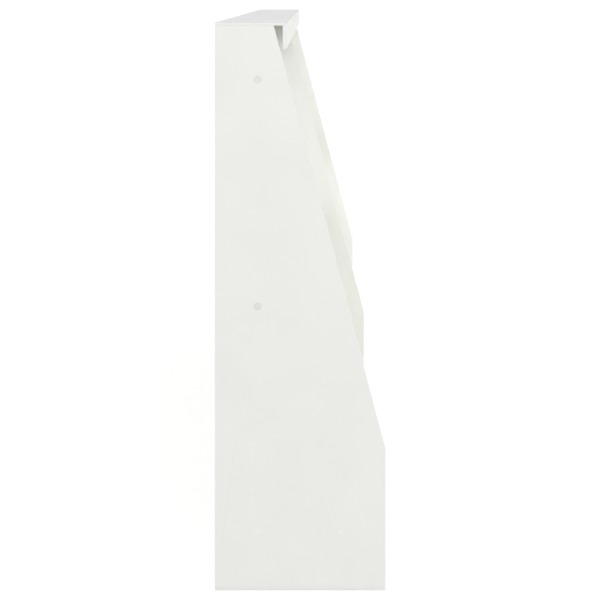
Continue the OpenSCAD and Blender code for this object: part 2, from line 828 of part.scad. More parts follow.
module flap_panel() {
    r = 2 * edge_r;
    color(white) in_flap(bay_mid[LEFT]) difference() {
        translate([-flap_w / 2, 0, 0]) rotate([90, 0, 90]) linear_extrude(flap_w) difference() {
            translate([-board_t, hinge_gap / 2]) square([board_t, flap_l - hinge_gap / 2]);
            translate([-board_t, flap_l]) rotate(180) corner_waste(r);
            translate([-board_t, hinge_gap / 2]) mirror([1, 0]) corner_waste(edge_r);
        }
        for (x = hinge_xs) translate([x - bay_mid[LEFT], 0, 0]) {
            flap_end() leaf_housing();
            flap_end() leaf_screws(seat);
        }
        strike_place() strike_body(seat);
        flap_knob_place() stud_bore();
    }
}

module flap_knob_place() {
    translate([0, -board_t, flap_l - flap_knob_drop]) rotate([90, 0, 0]) children();
}

module flap_knob() {
    color(brass) in_flap(bay_mid[LEFT]) flap_knob_place() turned_knob(knob_r, knob_h);
}

// Steel plate let into the flap's inner face, opposite the catch.
module strike_place() {
    translate([0, 0, (rail_low_z + catch_rise + catch_h / 2 - worktop_h) / cos(slant)]) children();
}

module strike_body(gap) {
    translate([-strike_w / 2 - gap, -strike_t - gap, -strike_h / 2 - gap])
        cube([strike_w + 2 * gap, strike_t + gap + (gap > 0 ? 1 : 0), strike_h + 2 * gap]);
}

module flap_strike_plate() {
    color(steel) in_flap(bay_mid[LEFT]) strike_place() strike_body(0);
}

module flap_catch() {
    z0 = rail_low_z + catch_rise;
    z1 = z0 + catch_h;
    color(steel) side_profile(bay_mid[LEFT] - catch_w / 2, catch_w) polygon([
        [rail_front_d, z0], [flap_inner_d(z0) - 2 * slip, z0],
        [flap_inner_d(z1) - 2 * slip, z1], [rail_front_d, z1]
    ]);
}

// ---- lopers --------------------------------------------------------------

// A runner strip against the left wall of a bay, with countersunk screw holes.
module runner(bay, span, z, screw_ds) {
    difference() {
        side_profile(bay_x[bay], runner_t)
            translate([span[0], z - runner_h / 2]) square([span[1] - span[0], runner_h]);
        for (d = screw_ds) runner_screw(bay, d, z, seat);
    }
}

module runner_screw(bay, d, z, gap) {
    translate([bay_x[bay] + runner_t + (gap > 0 ? eps : 0), y_at(d), z]) rotate([0, -90, 0])
        wood_screw(screw_core_r + gap, runner_t + bracket_bite, 2 * screw_core_r + gap, screw_head_t);
}

// Draws its children at the left wall of a bay and mirrored at its right wall.
module both_walls(bay) {
    children();
    translate([2 * bay_mid[bay], 0, 0]) mirror([1, 0, 0]) children();
}

module loper_runners() {
    color(white) both_walls(LEFT) runner(LEFT, loper_runner_span, loper_runner_z, loper_screw_ds);
}

module drawer_runners() {
    color(white) for (i = [0, 1]) both_walls(RIGHT)
        runner(RIGHT, drawer_runner_span, drawer_runner_z(i), drawer_screw_ds);
}

module runner_screws() {
    color(steel) {
        both_walls(LEFT) for (d = loper_screw_ds) runner_screw(LEFT, d, loper_runner_z, 0);
        for (i = [0, 1]) both_walls(RIGHT)
            for (d = drawer_screw_ds) runner_screw(RIGHT, d, drawer_runner_z(i), 0);
        both_walls(LEFT) guide_screws(0);
    }
}

// Screws from below through a guide into the worktop.
module guide_screws(gap) {
    for (d = [guide_rear_d + guide_screw_in, stop_face_d - guide_screw_in])
        translate([bay_x[LEFT] + loper_inner + slip + guide_t / 2, y_at(d), guide_z - (gap > 0 ? eps : 0)])
            wood_screw(screw_core_r + gap, guide_h + screw_bite + gap, 2 * screw_core_r + gap, screw_head_t);
}

// A strip under the worktop that holds a loper on its runner. Its deeper front end stops the loper.
module loper_guide() {
    difference() {
        side_profile(bay_x[LEFT] + loper_inner + slip, guide_t) polygon([
            [guide_rear_d, guide_z + guide_h], [guide_rear_d, guide_z], [stop_face_d, guide_z],
            [stop_face_d, guide_z + guide_h - stop_block_h],
            [guide_front_d, guide_z + guide_h - stop_block_h], [guide_front_d, guide_z + guide_h]
        ]);
        guide_screws(seat);
    }
}

module loper_guides() {
    color(white) both_walls(LEFT) loper_guide();
}

// The left loper, grooved along its outer side for its runner.
module loper_bar() {
    x0 = bay_x[LEFT] + runner_side;
    difference() {
        side_profile(x0, loper_t) board_profile(loper_rear_d, loper_front_d, loper_z, loper_h);
        side_profile(x0 - 1, runner_reach + 1)
            translate([loper_rear_d - 1, loper_runner_z - groove_h / 2])
                square([loper_runner_span[1] + 1 + slip - loper_rear_d, groove_h]);
        loper_knob_place() stud_bore();
        loper_stop_place() translate([0, 0, -eps]) cylinder(r = screw_core_r + seat, h = stop_screw_l + seat);
    }
}

module loper_knob_place() {
    translate([bay_x[LEFT] + runner_side + loper_t / 2, y_at(loper_front_d), loper_runner_z])
        rotate([90, 0, 0]) children();
}

module loper_stop_place() {
    translate([bay_x[LEFT] + loper_inner, y_at(loper_rear_d + stop_in), loper_z + loper_h - stop_drop])
        rotate([0, -90, 0]) children();
}

module loper_bar_knob() {
    loper_knob_place() turned_knob(loper_knob_r, loper_knob_h);
}

module loper_bar_stop() {
    loper_stop_place() pan_screw(stop_screw_l);
}

module mirror_in_bay(bay) {
    translate([2 * bay_mid[bay], 0, 0]) mirror([1, 0, 0]) children();
}

module loper_left() { color(white) loper_bar(); }
module loper_right() { color(white) mirror_in_bay(LEFT) loper_bar(); }
module loper_left_knob() { color(brass) loper_bar_knob(); }
module loper_right_knob() { color(brass) mirror_in_bay(LEFT) loper_bar_knob(); }
module loper_left_stop() { color(steel) loper_bar_stop(); }
module loper_right_stop() { color(steel) mirror_in_bay(LEFT) loper_bar_stop(); }

// ---- drawers -------------------------------------------------------------

// Space that a drawer's bottom fills, grown by a gap, from the rear depth forward.
module drawer_bottom_space(i, gap, rear_d) {
    in = drawer_side_t - drawer_groove;
    z = drawer_z(i) + drawer_box_rise + drawer_bottom_rise;
    front = drawer_rear_face_d + drawer_groove + gap;
    translate([drawer_x0 + in - gap, y_at(front), z - gap])
        cube([drawer_w - 2 * in + 2 * gap, front - rear_d, drawer_bottom_t + 2 * gap]);
}

// Tongue on a side's front end, in a stopped housing in the front.
module drawer_tongue_space(i, gap) {
    side_profile(drawer_x0 + drawer_side_t - drawer_tongue - gap, drawer_tongue + 2 * gap)
        translate([drawer_rear_face_d - drawer_groove, drawer_z(i) + drawer_box_rise - gap])
            square([2 * drawer_groove + gap, drawer_side_h + 2 * gap]);
}

// Space that a drawer's back fills, grown by a gap in its housings.
module drawer_back_space(i, gap, z0, z1) {
    in = drawer_side_t - drawer_dado;
    side_profile(drawer_x0 + in - gap, drawer_w - 2 * in + 2 * gap)
        translate([drawer_back_d + drawer_back_in - gap, z0]) square([drawer_side_t + 2 * gap, z1 - z0]);
}

module drawer_front(i) {
    color(white) difference() {
        side_profile(bay_x[RIGHT] + drawer_gap, bay_w - 2 * drawer_gap)
            board_profile(drawer_rear_face_d, drawer_face_d, drawer_z(i), drawer_front_h, 2 * edge_r);
        drawer_bottom_space(i, seat, drawer_back_d);
        both_walls(RIGHT) drawer_tongue_space(i, seat);
        drawer_knob_place(i) stud_bore();
    }
}

module drawer_sides(i) {
    z0 = drawer_z(i) + drawer_box_rise;
    color(white) both_walls(RIGHT) difference() {
        union() {
            side_profile(drawer_x0, drawer_side_t)
                translate([drawer_back_d, z0])
                    square([drawer_rear_face_d - drawer_back_d, drawer_side_h]);
            drawer_tongue_space(i, 0);
        }
        side_profile(drawer_x0 - 1, runner_reach + 1)
            translate([drawer_back_d - 1, drawer_runner_z(i) - groove_h / 2])
                square([drawer_runner_span[1] + 1 + slip - drawer_back_d, groove_h]);
        drawer_bottom_space(i, seat, drawer_back_d - 1);
        drawer_back_space(i, seat, z0 + drawer_bottom_rise, z0 + drawer_side_h + 1);
    }
}

module drawer_back(i) {
    z = drawer_z(i) + drawer_box_rise;
    color(white)
        drawer_back_space(i, 0, z + drawer_bottom_rise + drawer_bottom_t + seat, z + drawer_side_h);
}

module drawer_bottom(i) {
    color(white) drawer_bottom_space(i, 0, drawer_back_d + drawer_back_in);
}

module drawer_knob_place(i) {
    translate([bay_mid[RIGHT], y_at(drawer_face_d), drawer_z(i) + drawer_front_h / 2])
        rotate([90, 0, 0]) children();
}

module drawer_knob(i) {
    color(brass) drawer_knob_place(i) turned_knob(knob_r, knob_h);
}

// ---- assembly ------------------------------------------------------------

upright_left();
upright_middle();
upright_right();
top_panel();
top_lip();
back_panel(LEFT);  // back_panel_left
back_panel(RIGHT);  // back_panel_right
bottom_shelf(LEFT);  // bottom_shelf_left
bottom_shelf(RIGHT);  // bottom_shelf_right
worktop(LEFT);  // worktop_left
worktop(RIGHT);  // worktop_right
upper_rail(LEFT);  // upper_rail_left
upper_rail(RIGHT);  // upper_rail_right
cover_caps();
confirmat_screws();
cam_bolts();
cam_locks();
dowels();
corner_brackets();
bracket_screws();
wall_brackets();
organiser_shelf_lower();
loose_shelf(LEFT, organiser_top);  // organiser_shelf_upper
divider(1);  // divider_1
divider(2);  // divider_2
divider(3);  // divider_3
loose_shelf(LEFT, lower);  // lower_shelf
loose_shelf(RIGHT, book_low);  // book_shelf_lower
loose_shelf(RIGHT, book_top);  // book_shelf_upper
shelf_pins();
hinge_fixed_leaves();
hinge_pins();
hinge_fixed_screws();
flap_catch();
loper_runners();
loper_guides();
drawer_runners();
runner_screws();
flap_panel();
flap_knob();
flap_strike_plate();
hinge_moving_leaves();
hinge_moving_screws();
loper_left();
loper_left_knob();
loper_left_stop();
loper_right();
loper_right_knob();
loper_right_stop();
drawer_front(0);  // drawer_upper_front
drawer_sides(0);  // drawer_upper_sides
drawer_back(0);  // drawer_upper_back
drawer_bottom(0);  // drawer_upper_bottom
drawer_knob(0);  // drawer_upper_knob
drawer_front(1);  // drawer_lower_front
drawer_sides(1);  // drawer_lower_sides
drawer_back(1);  // drawer_lower_back
drawer_bottom(1);  // drawer_lower_bottom
drawer_knob(1);  // drawer_lower_knob
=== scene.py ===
"""Dresses the secretary desk with the finishes of its boards, backs and fittings.

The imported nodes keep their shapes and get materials. The turned knobs and the stick-on screw covers are
rounder than their solids, so they are lathed here and stand in for them. Sizes are in millimetres, as
on a workshop drawing, and mm() turns them into metres.
"""

import json
import logging
import math
from abc import ABC, abstractmethod
from collections.abc import Iterable, Mapping
from dataclasses import dataclass, field
from enum import Enum
from typing import Any

import bpy
import numpy as np
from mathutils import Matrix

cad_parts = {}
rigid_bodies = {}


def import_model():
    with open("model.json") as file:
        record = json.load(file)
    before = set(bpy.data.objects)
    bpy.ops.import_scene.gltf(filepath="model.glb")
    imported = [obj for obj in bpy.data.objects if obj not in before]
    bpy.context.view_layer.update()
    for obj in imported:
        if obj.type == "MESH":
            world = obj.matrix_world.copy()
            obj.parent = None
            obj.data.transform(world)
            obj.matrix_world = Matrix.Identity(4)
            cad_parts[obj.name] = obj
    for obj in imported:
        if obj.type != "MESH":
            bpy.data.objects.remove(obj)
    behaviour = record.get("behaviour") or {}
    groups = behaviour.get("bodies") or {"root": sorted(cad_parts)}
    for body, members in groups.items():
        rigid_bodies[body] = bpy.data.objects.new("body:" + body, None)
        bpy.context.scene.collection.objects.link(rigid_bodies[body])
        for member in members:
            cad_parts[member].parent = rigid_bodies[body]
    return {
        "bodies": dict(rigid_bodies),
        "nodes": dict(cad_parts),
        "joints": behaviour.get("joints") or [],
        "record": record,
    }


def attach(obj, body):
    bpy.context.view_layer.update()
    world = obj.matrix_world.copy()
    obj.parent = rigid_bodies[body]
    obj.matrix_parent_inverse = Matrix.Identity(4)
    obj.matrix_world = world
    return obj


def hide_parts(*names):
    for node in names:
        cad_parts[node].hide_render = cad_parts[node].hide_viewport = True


LOG = logging.getLogger("secretary_desk")

MM_PER_METRE = 1000.0
WAVE_RADIANS = 20.0  # what a wave texture runs through in one unit at a scale of 1
LOOKS_ALONG = 0.7  # cosine past which a face counts as looking along a direction
WHITE = "#ffffff"

Colour = tuple[float, float, float, float]
Pair = tuple[float, float]  # two values, such as the ends of a range
Way = tuple[float, float, float]
Layers = tuple[tuple[bpy.types.Node, str], ...]  # shares of a surface and the colours that they take


class Slot(Enum):
    """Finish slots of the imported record."""

    BOARD = "white_board"
    BACK = "white_back"
    PLASTIC = "white_plastic"
    ZINC = "zinc_steel"
    HINGE = "hinge_brass"
    KNOB = "knob_brass"
    DOWEL = "beech_dowel"


class Side(Enum):
    """The desk's two outer sides, as the direction along X that each one faces."""

    LEFT = -1.0
    RIGHT = 1.0


class Lie(Enum):
    """How a board lies in the desk, as the direction of its thickness."""

    UPRIGHT = (1.0, 0.0, 0.0)
    LEVEL = (0.0, 0.0, 1.0)
    FACING = (0.0, 1.0, 0.0)


def mm(length: float) -> float:
    """Gives a length in metres from millimetres."""
    return length / MM_PER_METRE


def cells(size: float) -> float:
    """Gives the texture scale at which one cell of a pattern is that many millimetres wide."""
    return MM_PER_METRE / size


def bands(pitch: float) -> float:
    """Gives the wave texture scale at which bands repeat every that many millimetres."""
    return 2.0 * math.pi / WAVE_RADIANS * MM_PER_METRE / pitch


def linear(hex_colour: str) -> Colour:
    """Turns an sRGB hex colour into the linear colour that shaders use.

    Args:
        hex_colour: Six hex digits after a number sign, such as "#f0f1ec".

    Returns:
        Linear red, green and blue with an alpha of 1. Each channel c becomes c / 12.92 up to 0.04045, and
        ((c + 0.055) / 1.055) to the power 2.4 above it.
    """
    channels = [int(hex_colour[i : i + 2], 16) / 255.0 for i in (1, 3, 5)]
    red, green, blue = (c / 12.92 if c <= 0.04045 else ((c + 0.055) / 1.055) ** 2.4 for c in channels)
    return (red, green, blue, 1.0)


def add_node(
    tree: bpy.types.NodeTree,
    kind: str,
    inputs: Mapping[str | int, Any] | None = None,
    **settings: Any,
) -> bpy.types.Node:
    """Adds one node to a tree with its settings and links.

    Args:
        tree: The node tree that gets the node.
        kind: Type name of the node.
        inputs: Values by input name or number. A node is linked by its first output in use, a socket by
            itself, and anything else is set as the input's own value.
        **settings: Properties of the node itself.

    Returns:
        The new node.
    """
    node = tree.nodes.new(kind)
    for name, value in settings.items():
        setattr(node, name, value)
    for key, value in (inputs or {}).items():
        socket = node.inputs[key] if isinstance(key, int) else first_in_use(node.inputs, key)
        if isinstance(value, bpy.types.Node):
            value = first_in_use(value.outputs)
        if isinstance(value, bpy.types.NodeSocket):
            tree.links.new(value, socket)
        else:
            socket.default_value = value
    return node


def first_in_use(sockets: Iterable[bpy.types.NodeSocket], name: str = "") -> bpy.types.NodeSocket:
    """Gives the first socket that is in use, of that name if one is given."""
    return next(s for s in sockets if s.enabled and name in ("", s.name))


# ---- finishes ------------------------------------------------------------------------------------


@dataclass(frozen=True)
class Finish(ABC):
    """A surface finish that can be made into a material."""

    name: str

    @abstractmethod
    def wire(self, tree: bpy.types.NodeTree) -> bpy.types.Node:
        """Adds the finish's nodes to a tree.

        Args:
            tree: The node tree of the finish's own material.

        Returns:
            The shader that the nodes end in.
        """

    def material(self) -> bpy.types.Material:
        """Makes the finish's material.

        Returns:
            The new material, or the one that was made before from a finish of this name.
        """
        made = bpy.data.materials.get(self.name)
        if made is None:
            made = bpy.data.materials.new(self.name)
            made.use_nodes = True
            made.node_tree.nodes.clear()
            shader = self.wire(made.node_tree)
            add_node(made.node_tree, "ShaderNodeOutputMaterial", {"Surface": shader})
        return made


@dataclass(frozen=True)
class EasedEdges:
    """Rounds edges in the shading and says how near to an edge a point lies."""

    radius: float = 1.1
    samples: int = 4
    wear_range: Pair = (0.99, 0.75)  # cosine of the turn at which the wear starts and is full

    def wire(self, tree: bpy.types.NodeTree, strength: float) -> tuple[bpy.types.Node, bpy.types.Node]:
        """Adds the rounding.

        Args:
            tree: The node tree that gets the nodes.
            strength: How much of the wear an edge gets, from 0 to 1.

        Returns:
            The rounded normal and the wear. The wear grows as the rounded normal turns away from the flat
            one: it follows one minus their dot product.
        """
        rounded = add_node(tree, "ShaderNodeBevel", {"Radius": mm(self.radius)}, samples=self.samples)
        flat = add_node(tree, "ShaderNodeNewGeometry").outputs["True Normal"]
        turn = add_node(tree, "ShaderNodeVectorMath", {0: rounded, 1: flat}, operation="DOT_PRODUCT")
        start, full = self.wear_range
        ends = {"Value": turn, "From Min": start, "From Max": full, "To Max": strength}
        return rounded, add_node(tree, "ShaderNodeMapRange", ends)


@dataclass(frozen=True)
class MelamineBoard(Finish):
    """White melamine-faced chipboard, pressed against a pearl-textured plate and edge-banded.

    The eye sees an even off-white face with a soft sheen, whose pearl shows only where light rakes over
    it. The edge band is smoother and a little creamier, with a fine glue line along each arris that has
    taken dirt, and painted shade in streaks darkens the foot of what stands on the floor.
    """

    across: Way = Lie.UPRIGHT.value  # direction of the board's thickness
    face: str = "#f2f3ef"
    cloud: str = "#f0f1ec"
    band: str = "#f0f1ed"
    glue: str = "#dcdbd2"
    # painted shade along the floor, at the foot of each board
    floor_shade: str = "#e6e6e0"
    ior: float = 1.5
    gloss: Pair = (0.42, 0.5)  # roughness between the clouds and in them
    cloud_size: float = 150.0
    fibre_size: float = 7.0
    fibre_weight: float = 0.3  # next to a weight of 1 for the clouds
    cloud_range: Pair = (0.5, 0.8)  # height of both noises at which the clouds' colour starts and is full
    pearl_size: float = 2.6  # the plate's own pearl is near 0.8 mm, drawn coarser so that it shows
    pearl_detail: float = 1.0
    pearl_depth: float = 0.1
    pearl_strength: Pair = (0.45, 0.05)  # on the faces and on the band
    floor_shade_height: float = 12.0
    streak_size: float = 4.0
    streak_squeeze: float = 0.2  # scale along the floor, which draws the streaks out
    glue_wear: float = 0.7
    edges: EasedEdges = field(default_factory=EasedEdges)

    def wire(self, tree: bpy.types.NodeTree) -> bpy.types.Node:
        """Lays the face, puts band, glue lines and painted shade over it, and presses the pearl in.

        Args:
            tree: The node tree of the board's material.

        Returns:
            The board's shader.
        """
        place = add_node(tree, "ShaderNodeTexCoord").outputs["Object"]
        on_band = self.band_share(tree)
        colour, gloss = self.pressed_face(tree, place)
        rounded, wear = self.edges.wire(tree, self.glue_wear)
        layers = (
            (on_band, self.band),
            # painted shade along the floor
            (self.floor_shade_share(tree, place), self.floor_shade),
            (wear, self.glue),
            # painted shade on what faces up, on a board that has it
            *self.top_shade_layers(tree, place),
        )
        for share, tone in layers:
            layer = {"Factor": share, "A": colour, "B": linear(tone)}
            colour = add_node(tree, "ShaderNodeMix", layer, data_type="RGBA")
        grain = {"Vector": place, "Scale": cells(self.pearl_size), "Detail": self.pearl_detail}
        pearl = add_node(tree, "ShaderNodeTexNoise", grain)
        on_face, at_band = self.pearl_strength
        pressed = {"Value": on_band, "To Min": on_face, "To Max": at_band}
        strength = add_node(tree, "ShaderNodeMapRange", pressed)
        dimples = {"Strength": strength, "Distance": mm(self.pearl_depth), "Height": pearl}
        relief = add_node(tree, "ShaderNodeBump", dimples | {"Normal": rounded})
        surface = {"Base Color": colour, "Roughness": gloss, "IOR": self.ior, "Normal": relief}
        return add_node(tree, "ShaderNodeBsdfPrincipled", surface)

    def band_share(self, tree: bpy.types.NodeTree) -> bpy.types.Node:
        """Tells the edge band from the faces, by the way that the surface looks.

        Args:
            tree: The node tree that gets the nodes.

        Returns:
            A node that gives 0 on the board's two faces and 1 on its edges.
        """
        flat = add_node(tree, "ShaderNodeNewGeometry").outputs["True Normal"]
        facing = add_node(tree, "ShaderNodeVectorMath", {0: flat, 1: self.across}, operation="DOT_PRODUCT")
        size = add_node(tree, "ShaderNodeMath", {0: facing}, operation="ABSOLUTE")
        return add_node(tree, "ShaderNodeMath", {0: size, 1: LOOKS_ALONG}, operation="LESS_THAN")

    def pressed_face(
        self, tree: bpy.types.NodeTree, place: bpy.types.NodeSocket
    ) -> tuple[bpy.types.Node, bpy.types.Node]:
        """Lets colour and gloss drift together, in wide clouds and short fibres.

        Args:
            tree: The node tree that gets the nodes.
            place: The point on the surface.

        Returns:
            The face's colour and its roughness.
        """
        clouds = add_node(tree, "ShaderNodeTexNoise", {"Vector": place, "Scale": cells(self.cloud_size)})
        fibres = add_node(tree, "ShaderNodeTexNoise", {"Vector": place, "Scale": cells(self.fibre_size)})
        both = {0: fibres, 1: self.fibre_weight, 2: clouds}
        uneven = add_node(tree, "ShaderNodeMath", both, operation="MULTIPLY_ADD")
        start, full = self.cloud_range
        drift = {"Value": uneven, "From Min": start, "From Max": full}
        tint = add_node(tree, "ShaderNodeMapRange", drift)
        between, inside = self.gloss
        gloss = add_node(tree, "ShaderNodeMapRange", drift | {"To Min": between, "To Max": inside})
        tones = {"Factor": tint, "A": linear(self.face), "B": linear(self.cloud)}
        return add_node(tree, "ShaderNodeMix", tones, data_type="RGBA"), gloss

    def floor_shade_share(self, tree: bpy.types.NodeTree, place: bpy.types.NodeSocket) -> bpy.types.Node:
        """Paints shade in streaks along the floor, at the foot of each board.

        Args:
            tree: The node tree that gets the nodes.
            place: The point on the surface.

        Returns:
            A node that gives the painted shade in streaks, full at the floor and gone at the floor shade
            height.
        """
        height = add_node(tree, "ShaderNodeSeparateXYZ", {"Vector": place}).outputs["Z"]
        rise = {"Value": height, "From Max": mm(self.floor_shade_height), "To Min": 1.0, "To Max": 0.0}
        fade = add_node(tree, "ShaderNodeMapRange", rise)
        drawn = (self.streak_squeeze, self.streak_squeeze, 1.0)
        level = add_node(tree, "ShaderNodeMapping", {"Vector": place, "Scale": drawn})
        streaks = add_node(tree, "ShaderNodeTexNoise", {"Vector": level, "Scale": cells(self.streak_size)})
        return add_node(tree, "ShaderNodeMath", {0: fade, 1: streaks}, operation="MULTIPLY")

    def top_shade_layers(self, tree: bpy.types.NodeTree, place: bpy.types.NodeSocket) -> Layers:
        """Gives each layer of painted top shade as its share and colour: none on a plain board."""
        return ()


@dataclass(frozen=True)
class ShadedTopBoard(MelamineBoard):
    """The same board with painted shade on what faces up, which makes its top a cooler, flatter grey."""

    # painted shade on the board's upward faces
    top_shade: str = "#e1e1e2"
    top_shade_range: Pair = (0.2, 0.6)  # height of the noise at which the painted shade deepens and is full
    faintest_shade: float = 0.8  # share of the board's colour that the painted shade hides where it is faintest

    def top_shade_layers(self, tree: bpy.types.NodeTree, place: bpy.types.NodeSocket) -> Layers:
        """Paints shade on what faces up, fainter in some patches than in others.

        Args:
            tree: The node tree that gets the nodes.
            place: The point on the surface.

        Returns:
            The one layer of painted shade, as its share and colour.
        """
        flat = add_node(tree, "ShaderNodeNewGeometry").outputs["True Normal"]
        rise = add_node(tree, "ShaderNodeSeparateXYZ", {"Vector": flat}).outputs["Z"]
        facing_up = add_node(tree, "ShaderNodeMath", {0: rise, 1: LOOKS_ALONG}, operation="GREATER_THAN")
        patches = add_node(tree, "ShaderNodeTexNoise", {"Vector": place, "Scale": cells(self.cloud_size)})
        start, full = self.top_shade_range
        cover = {"Value": patches, "From Min": start, "From Max": full, "To Min": self.faintest_shade}
        shade_strength = add_node(tree, "ShaderNodeMapRange", cover)
        share = add_node(tree, "ShaderNodeMath", {0: facing_up, 1: shade_strength}, operation="MULTIPLY")
        return ((share, self.top_shade),)


@dataclass(frozen=True)
class PrintedHardboard(Finish):
    """Thin hardboard, wet-pressed on a wire mesh and printed white on its smooth side.

    Under the print the fibres show as small soft shadows, so the sheet looks flatter and a little greyer
    than the boards round it. The other side is the raw grey-beige fibre mat with the wire's imprint.
    """

    rough_side: Way = (0.0, 1.0, 0.0)  # the way that the raw side faces
    print_white: str = "#eeefe9"
    shadow: str = "#e4e5dd"
    raw: str = "#dcd4c4"
    raw_fibre: str = "#c3b69f"
    ior: float = 1.48
    gloss: Pair = (0.55, 0.85)  # roughness of the printed side and of the raw one
    fibre_size: float = 2.5
    fibre_detail: float = 5.0
    fibre_range: Pair = (0.4, 0.75)  # height of the noise at which a fibre's colour starts and is full
    mesh_pitch: float = 4.0  # the wire's own pitch is near 1.5 mm, drawn coarser so that it shows
    mesh_depth: float = 0.15
    mesh_strength: Pair = (0.08, 0.5)  # on the printed side and on the raw one

    def wire(self, tree: bpy.types.NodeTree) -> bpy.types.Node:
        """Prints one side over short fibres, and presses the wire mesh into the other.

        Args:
            tree: The node tree of the sheet's material.

        Returns:
            The sheet's shader.
        """
        place = add_node(tree, "ShaderNodeTexCoord").outputs["Object"]
        flat = add_node(tree, "ShaderNodeNewGeometry").outputs["True Normal"]
        turned = {0: flat, 1: self.rough_side}
        facing = add_node(tree, "ShaderNodeVectorMath", turned, operation="DOT_PRODUCT")
        is_raw = add_node(tree, "ShaderNodeMath", {0: facing, 1: LOOKS_ALONG}, operation="GREATER_THAN")
        mat = {"Vector": place, "Scale": cells(self.fibre_size), "Detail": self.fibre_detail}
        fibres = add_node(tree, "ShaderNodeTexNoise", mat)
        start, full = self.fibre_range
        fade = {"Value": fibres, "From Min": start, "From Max": full}
        tint = add_node(tree, "ShaderNodeMapRange", fade)
        sides = []
        for ground, fibre in ((self.print_white, self.shadow), (self.raw, self.raw_fibre)):
            tones = {"Factor": tint, "A": linear(ground), "B": linear(fibre)}
            sides.append(add_node(tree, "ShaderNodeMix", tones, data_type="RGBA"))
        both = {"Factor": is_raw, "A": sides[0], "B": sides[1]}
        colour = add_node(tree, "ShaderNodeMix", both, data_type="RGBA")
        pressed = {0: self.mesh_imprint(tree, place), 1: is_raw, 2: fibres}
        height = add_node(tree, "ShaderNodeMath", pressed, operation="MULTIPLY_ADD")
        strength, gloss = (
            add_node(tree, "ShaderNodeMapRange", {"Value": is_raw, "To Min": smooth, "To Max": rough})
            for smooth, rough in (self.mesh_strength, self.gloss)
        )
        dents = {"Strength": strength, "Distance": mm(self.mesh_depth), "Height": height}
        relief = add_node(tree, "ShaderNodeBump", dents)
        surface = {"Base Color": colour, "Roughness": gloss, "IOR": self.ior, "Normal": relief}
        return add_node(tree, "ShaderNodeBsdfPrincipled", surface)

    def mesh_imprint(self, tree: bpy.types.NodeTree, place: bpy.types.NodeSocket) -> bpy.types.Node:
        """Crosses the wires of the mesh.

        Args:
            tree: The node tree that gets the nodes.
            place: The point on the surface.

        Returns:
            A node that gives the product of two waves, one along each direction of the mesh.
        """
        waves = []
        for way in ((1.0, 0.0, 0.0), (0.0, self.rough_side[2], self.rough_side[1])):
            course = add_node(tree, "ShaderNodeVectorMath", {0: place, 1: way}, operation="DOT_PRODUCT")
            wires = {"Vector": course, "Scale": bands(self.mesh_pitch)}
            waves.append(add_node(tree, "ShaderNodeTexWave", wires).outputs["Fac"])
        return add_node(tree, "ShaderNodeMath", {0: waves[0], 1: waves[1]}, operation="MULTIPLY")


@dataclass(frozen=True)
class MouldedPlastic(Finish):
    """White polystyrene, moulded in a spark-eroded tool.

    It is a little greyer and glossier than the boards. Flow clouds and a fine erosion grain keep its
    highlight soft. A piece may carry a painted shade of its own, which darkens it as a whole.
    """

    body: str = "#f6f6f1"
    # darker tone of the flow clouds, also used for each cover's painted shade
    cloud_and_shade: str = "#d0d1c8"
    tone: str = ""  # name of the point attribute that holds each cover's painted shade, from 0 to 1
    ior: float = 1.59
    gloss: float = 0.3
    flow_size: float = 14.0
    flow_range: Pair = (0.3, 0.7)  # height of the noise at which the darker tone starts and is strongest
    flow_share: float = 0.3  # share of the darker tone where it is strongest
    flow_on_shade: float = 0.2  # part of that which is added to a piece's painted shade
    grain_size: float = 1.2  # spark erosion is near 0.1 mm, drawn coarser so that it shows
    grain_depth: float = 0.02
    grain_strength: float = 0.3
    edges: EasedEdges = field(default_factory=lambda: EasedEdges(radius=0.3))

    def wire(self, tree: bpy.types.NodeTree) -> bpy.types.Node:
        """Mixes the darker tone in by the flow clouds and any painted shade, over a fine grain.

        Args:
            tree: The node tree of the plastic's material.

        Returns:
            The plastic's shader.
        """
        place = add_node(tree, "ShaderNodeTexCoord").outputs["Object"]
        flow = add_node(tree, "ShaderNodeTexNoise", {"Vector": place, "Scale": cells(self.flow_size)})
        grain = add_node(tree, "ShaderNodeTexNoise", {"Vector": place, "Scale": cells(self.grain_size)})
        start, full = self.flow_range
        clouds = {"Value": flow, "From Min": start, "From Max": full, "To Max": self.flow_share}
        share = add_node(tree, "ShaderNodeMapRange", clouds)
        if self.tone:
            # each cover's painted shade, read from its points
            age = add_node(tree, "ShaderNodeAttribute", attribute_name=self.tone).outputs["Fac"]
            small = add_node(tree, "ShaderNodeMath", {0: share, 1: self.flow_on_shade}, operation="MULTIPLY")
            share = add_node(tree, "ShaderNodeMath", {0: age, 1: small}, operation="ADD", use_clamp=True)
        tones = {"Factor": share, "A": linear(self.body), "B": linear(self.cloud_and_shade)}
        colour = add_node(tree, "ShaderNodeMix", tones, data_type="RGBA")
        rounded, _ = self.edges.wire(tree, 0.0)
        pits = {"Strength": self.grain_strength, "Distance": mm(self.grain_depth), "Height": grain}
        relief = add_node(tree, "ShaderNodeBump", pits | {"Normal": rounded})
        surface = {"Base Color": colour, "Roughness": self.gloss, "IOR": self.ior, "Normal": relief}
        return add_node(tree, "ShaderNodeBsdfPrincipled", surface)


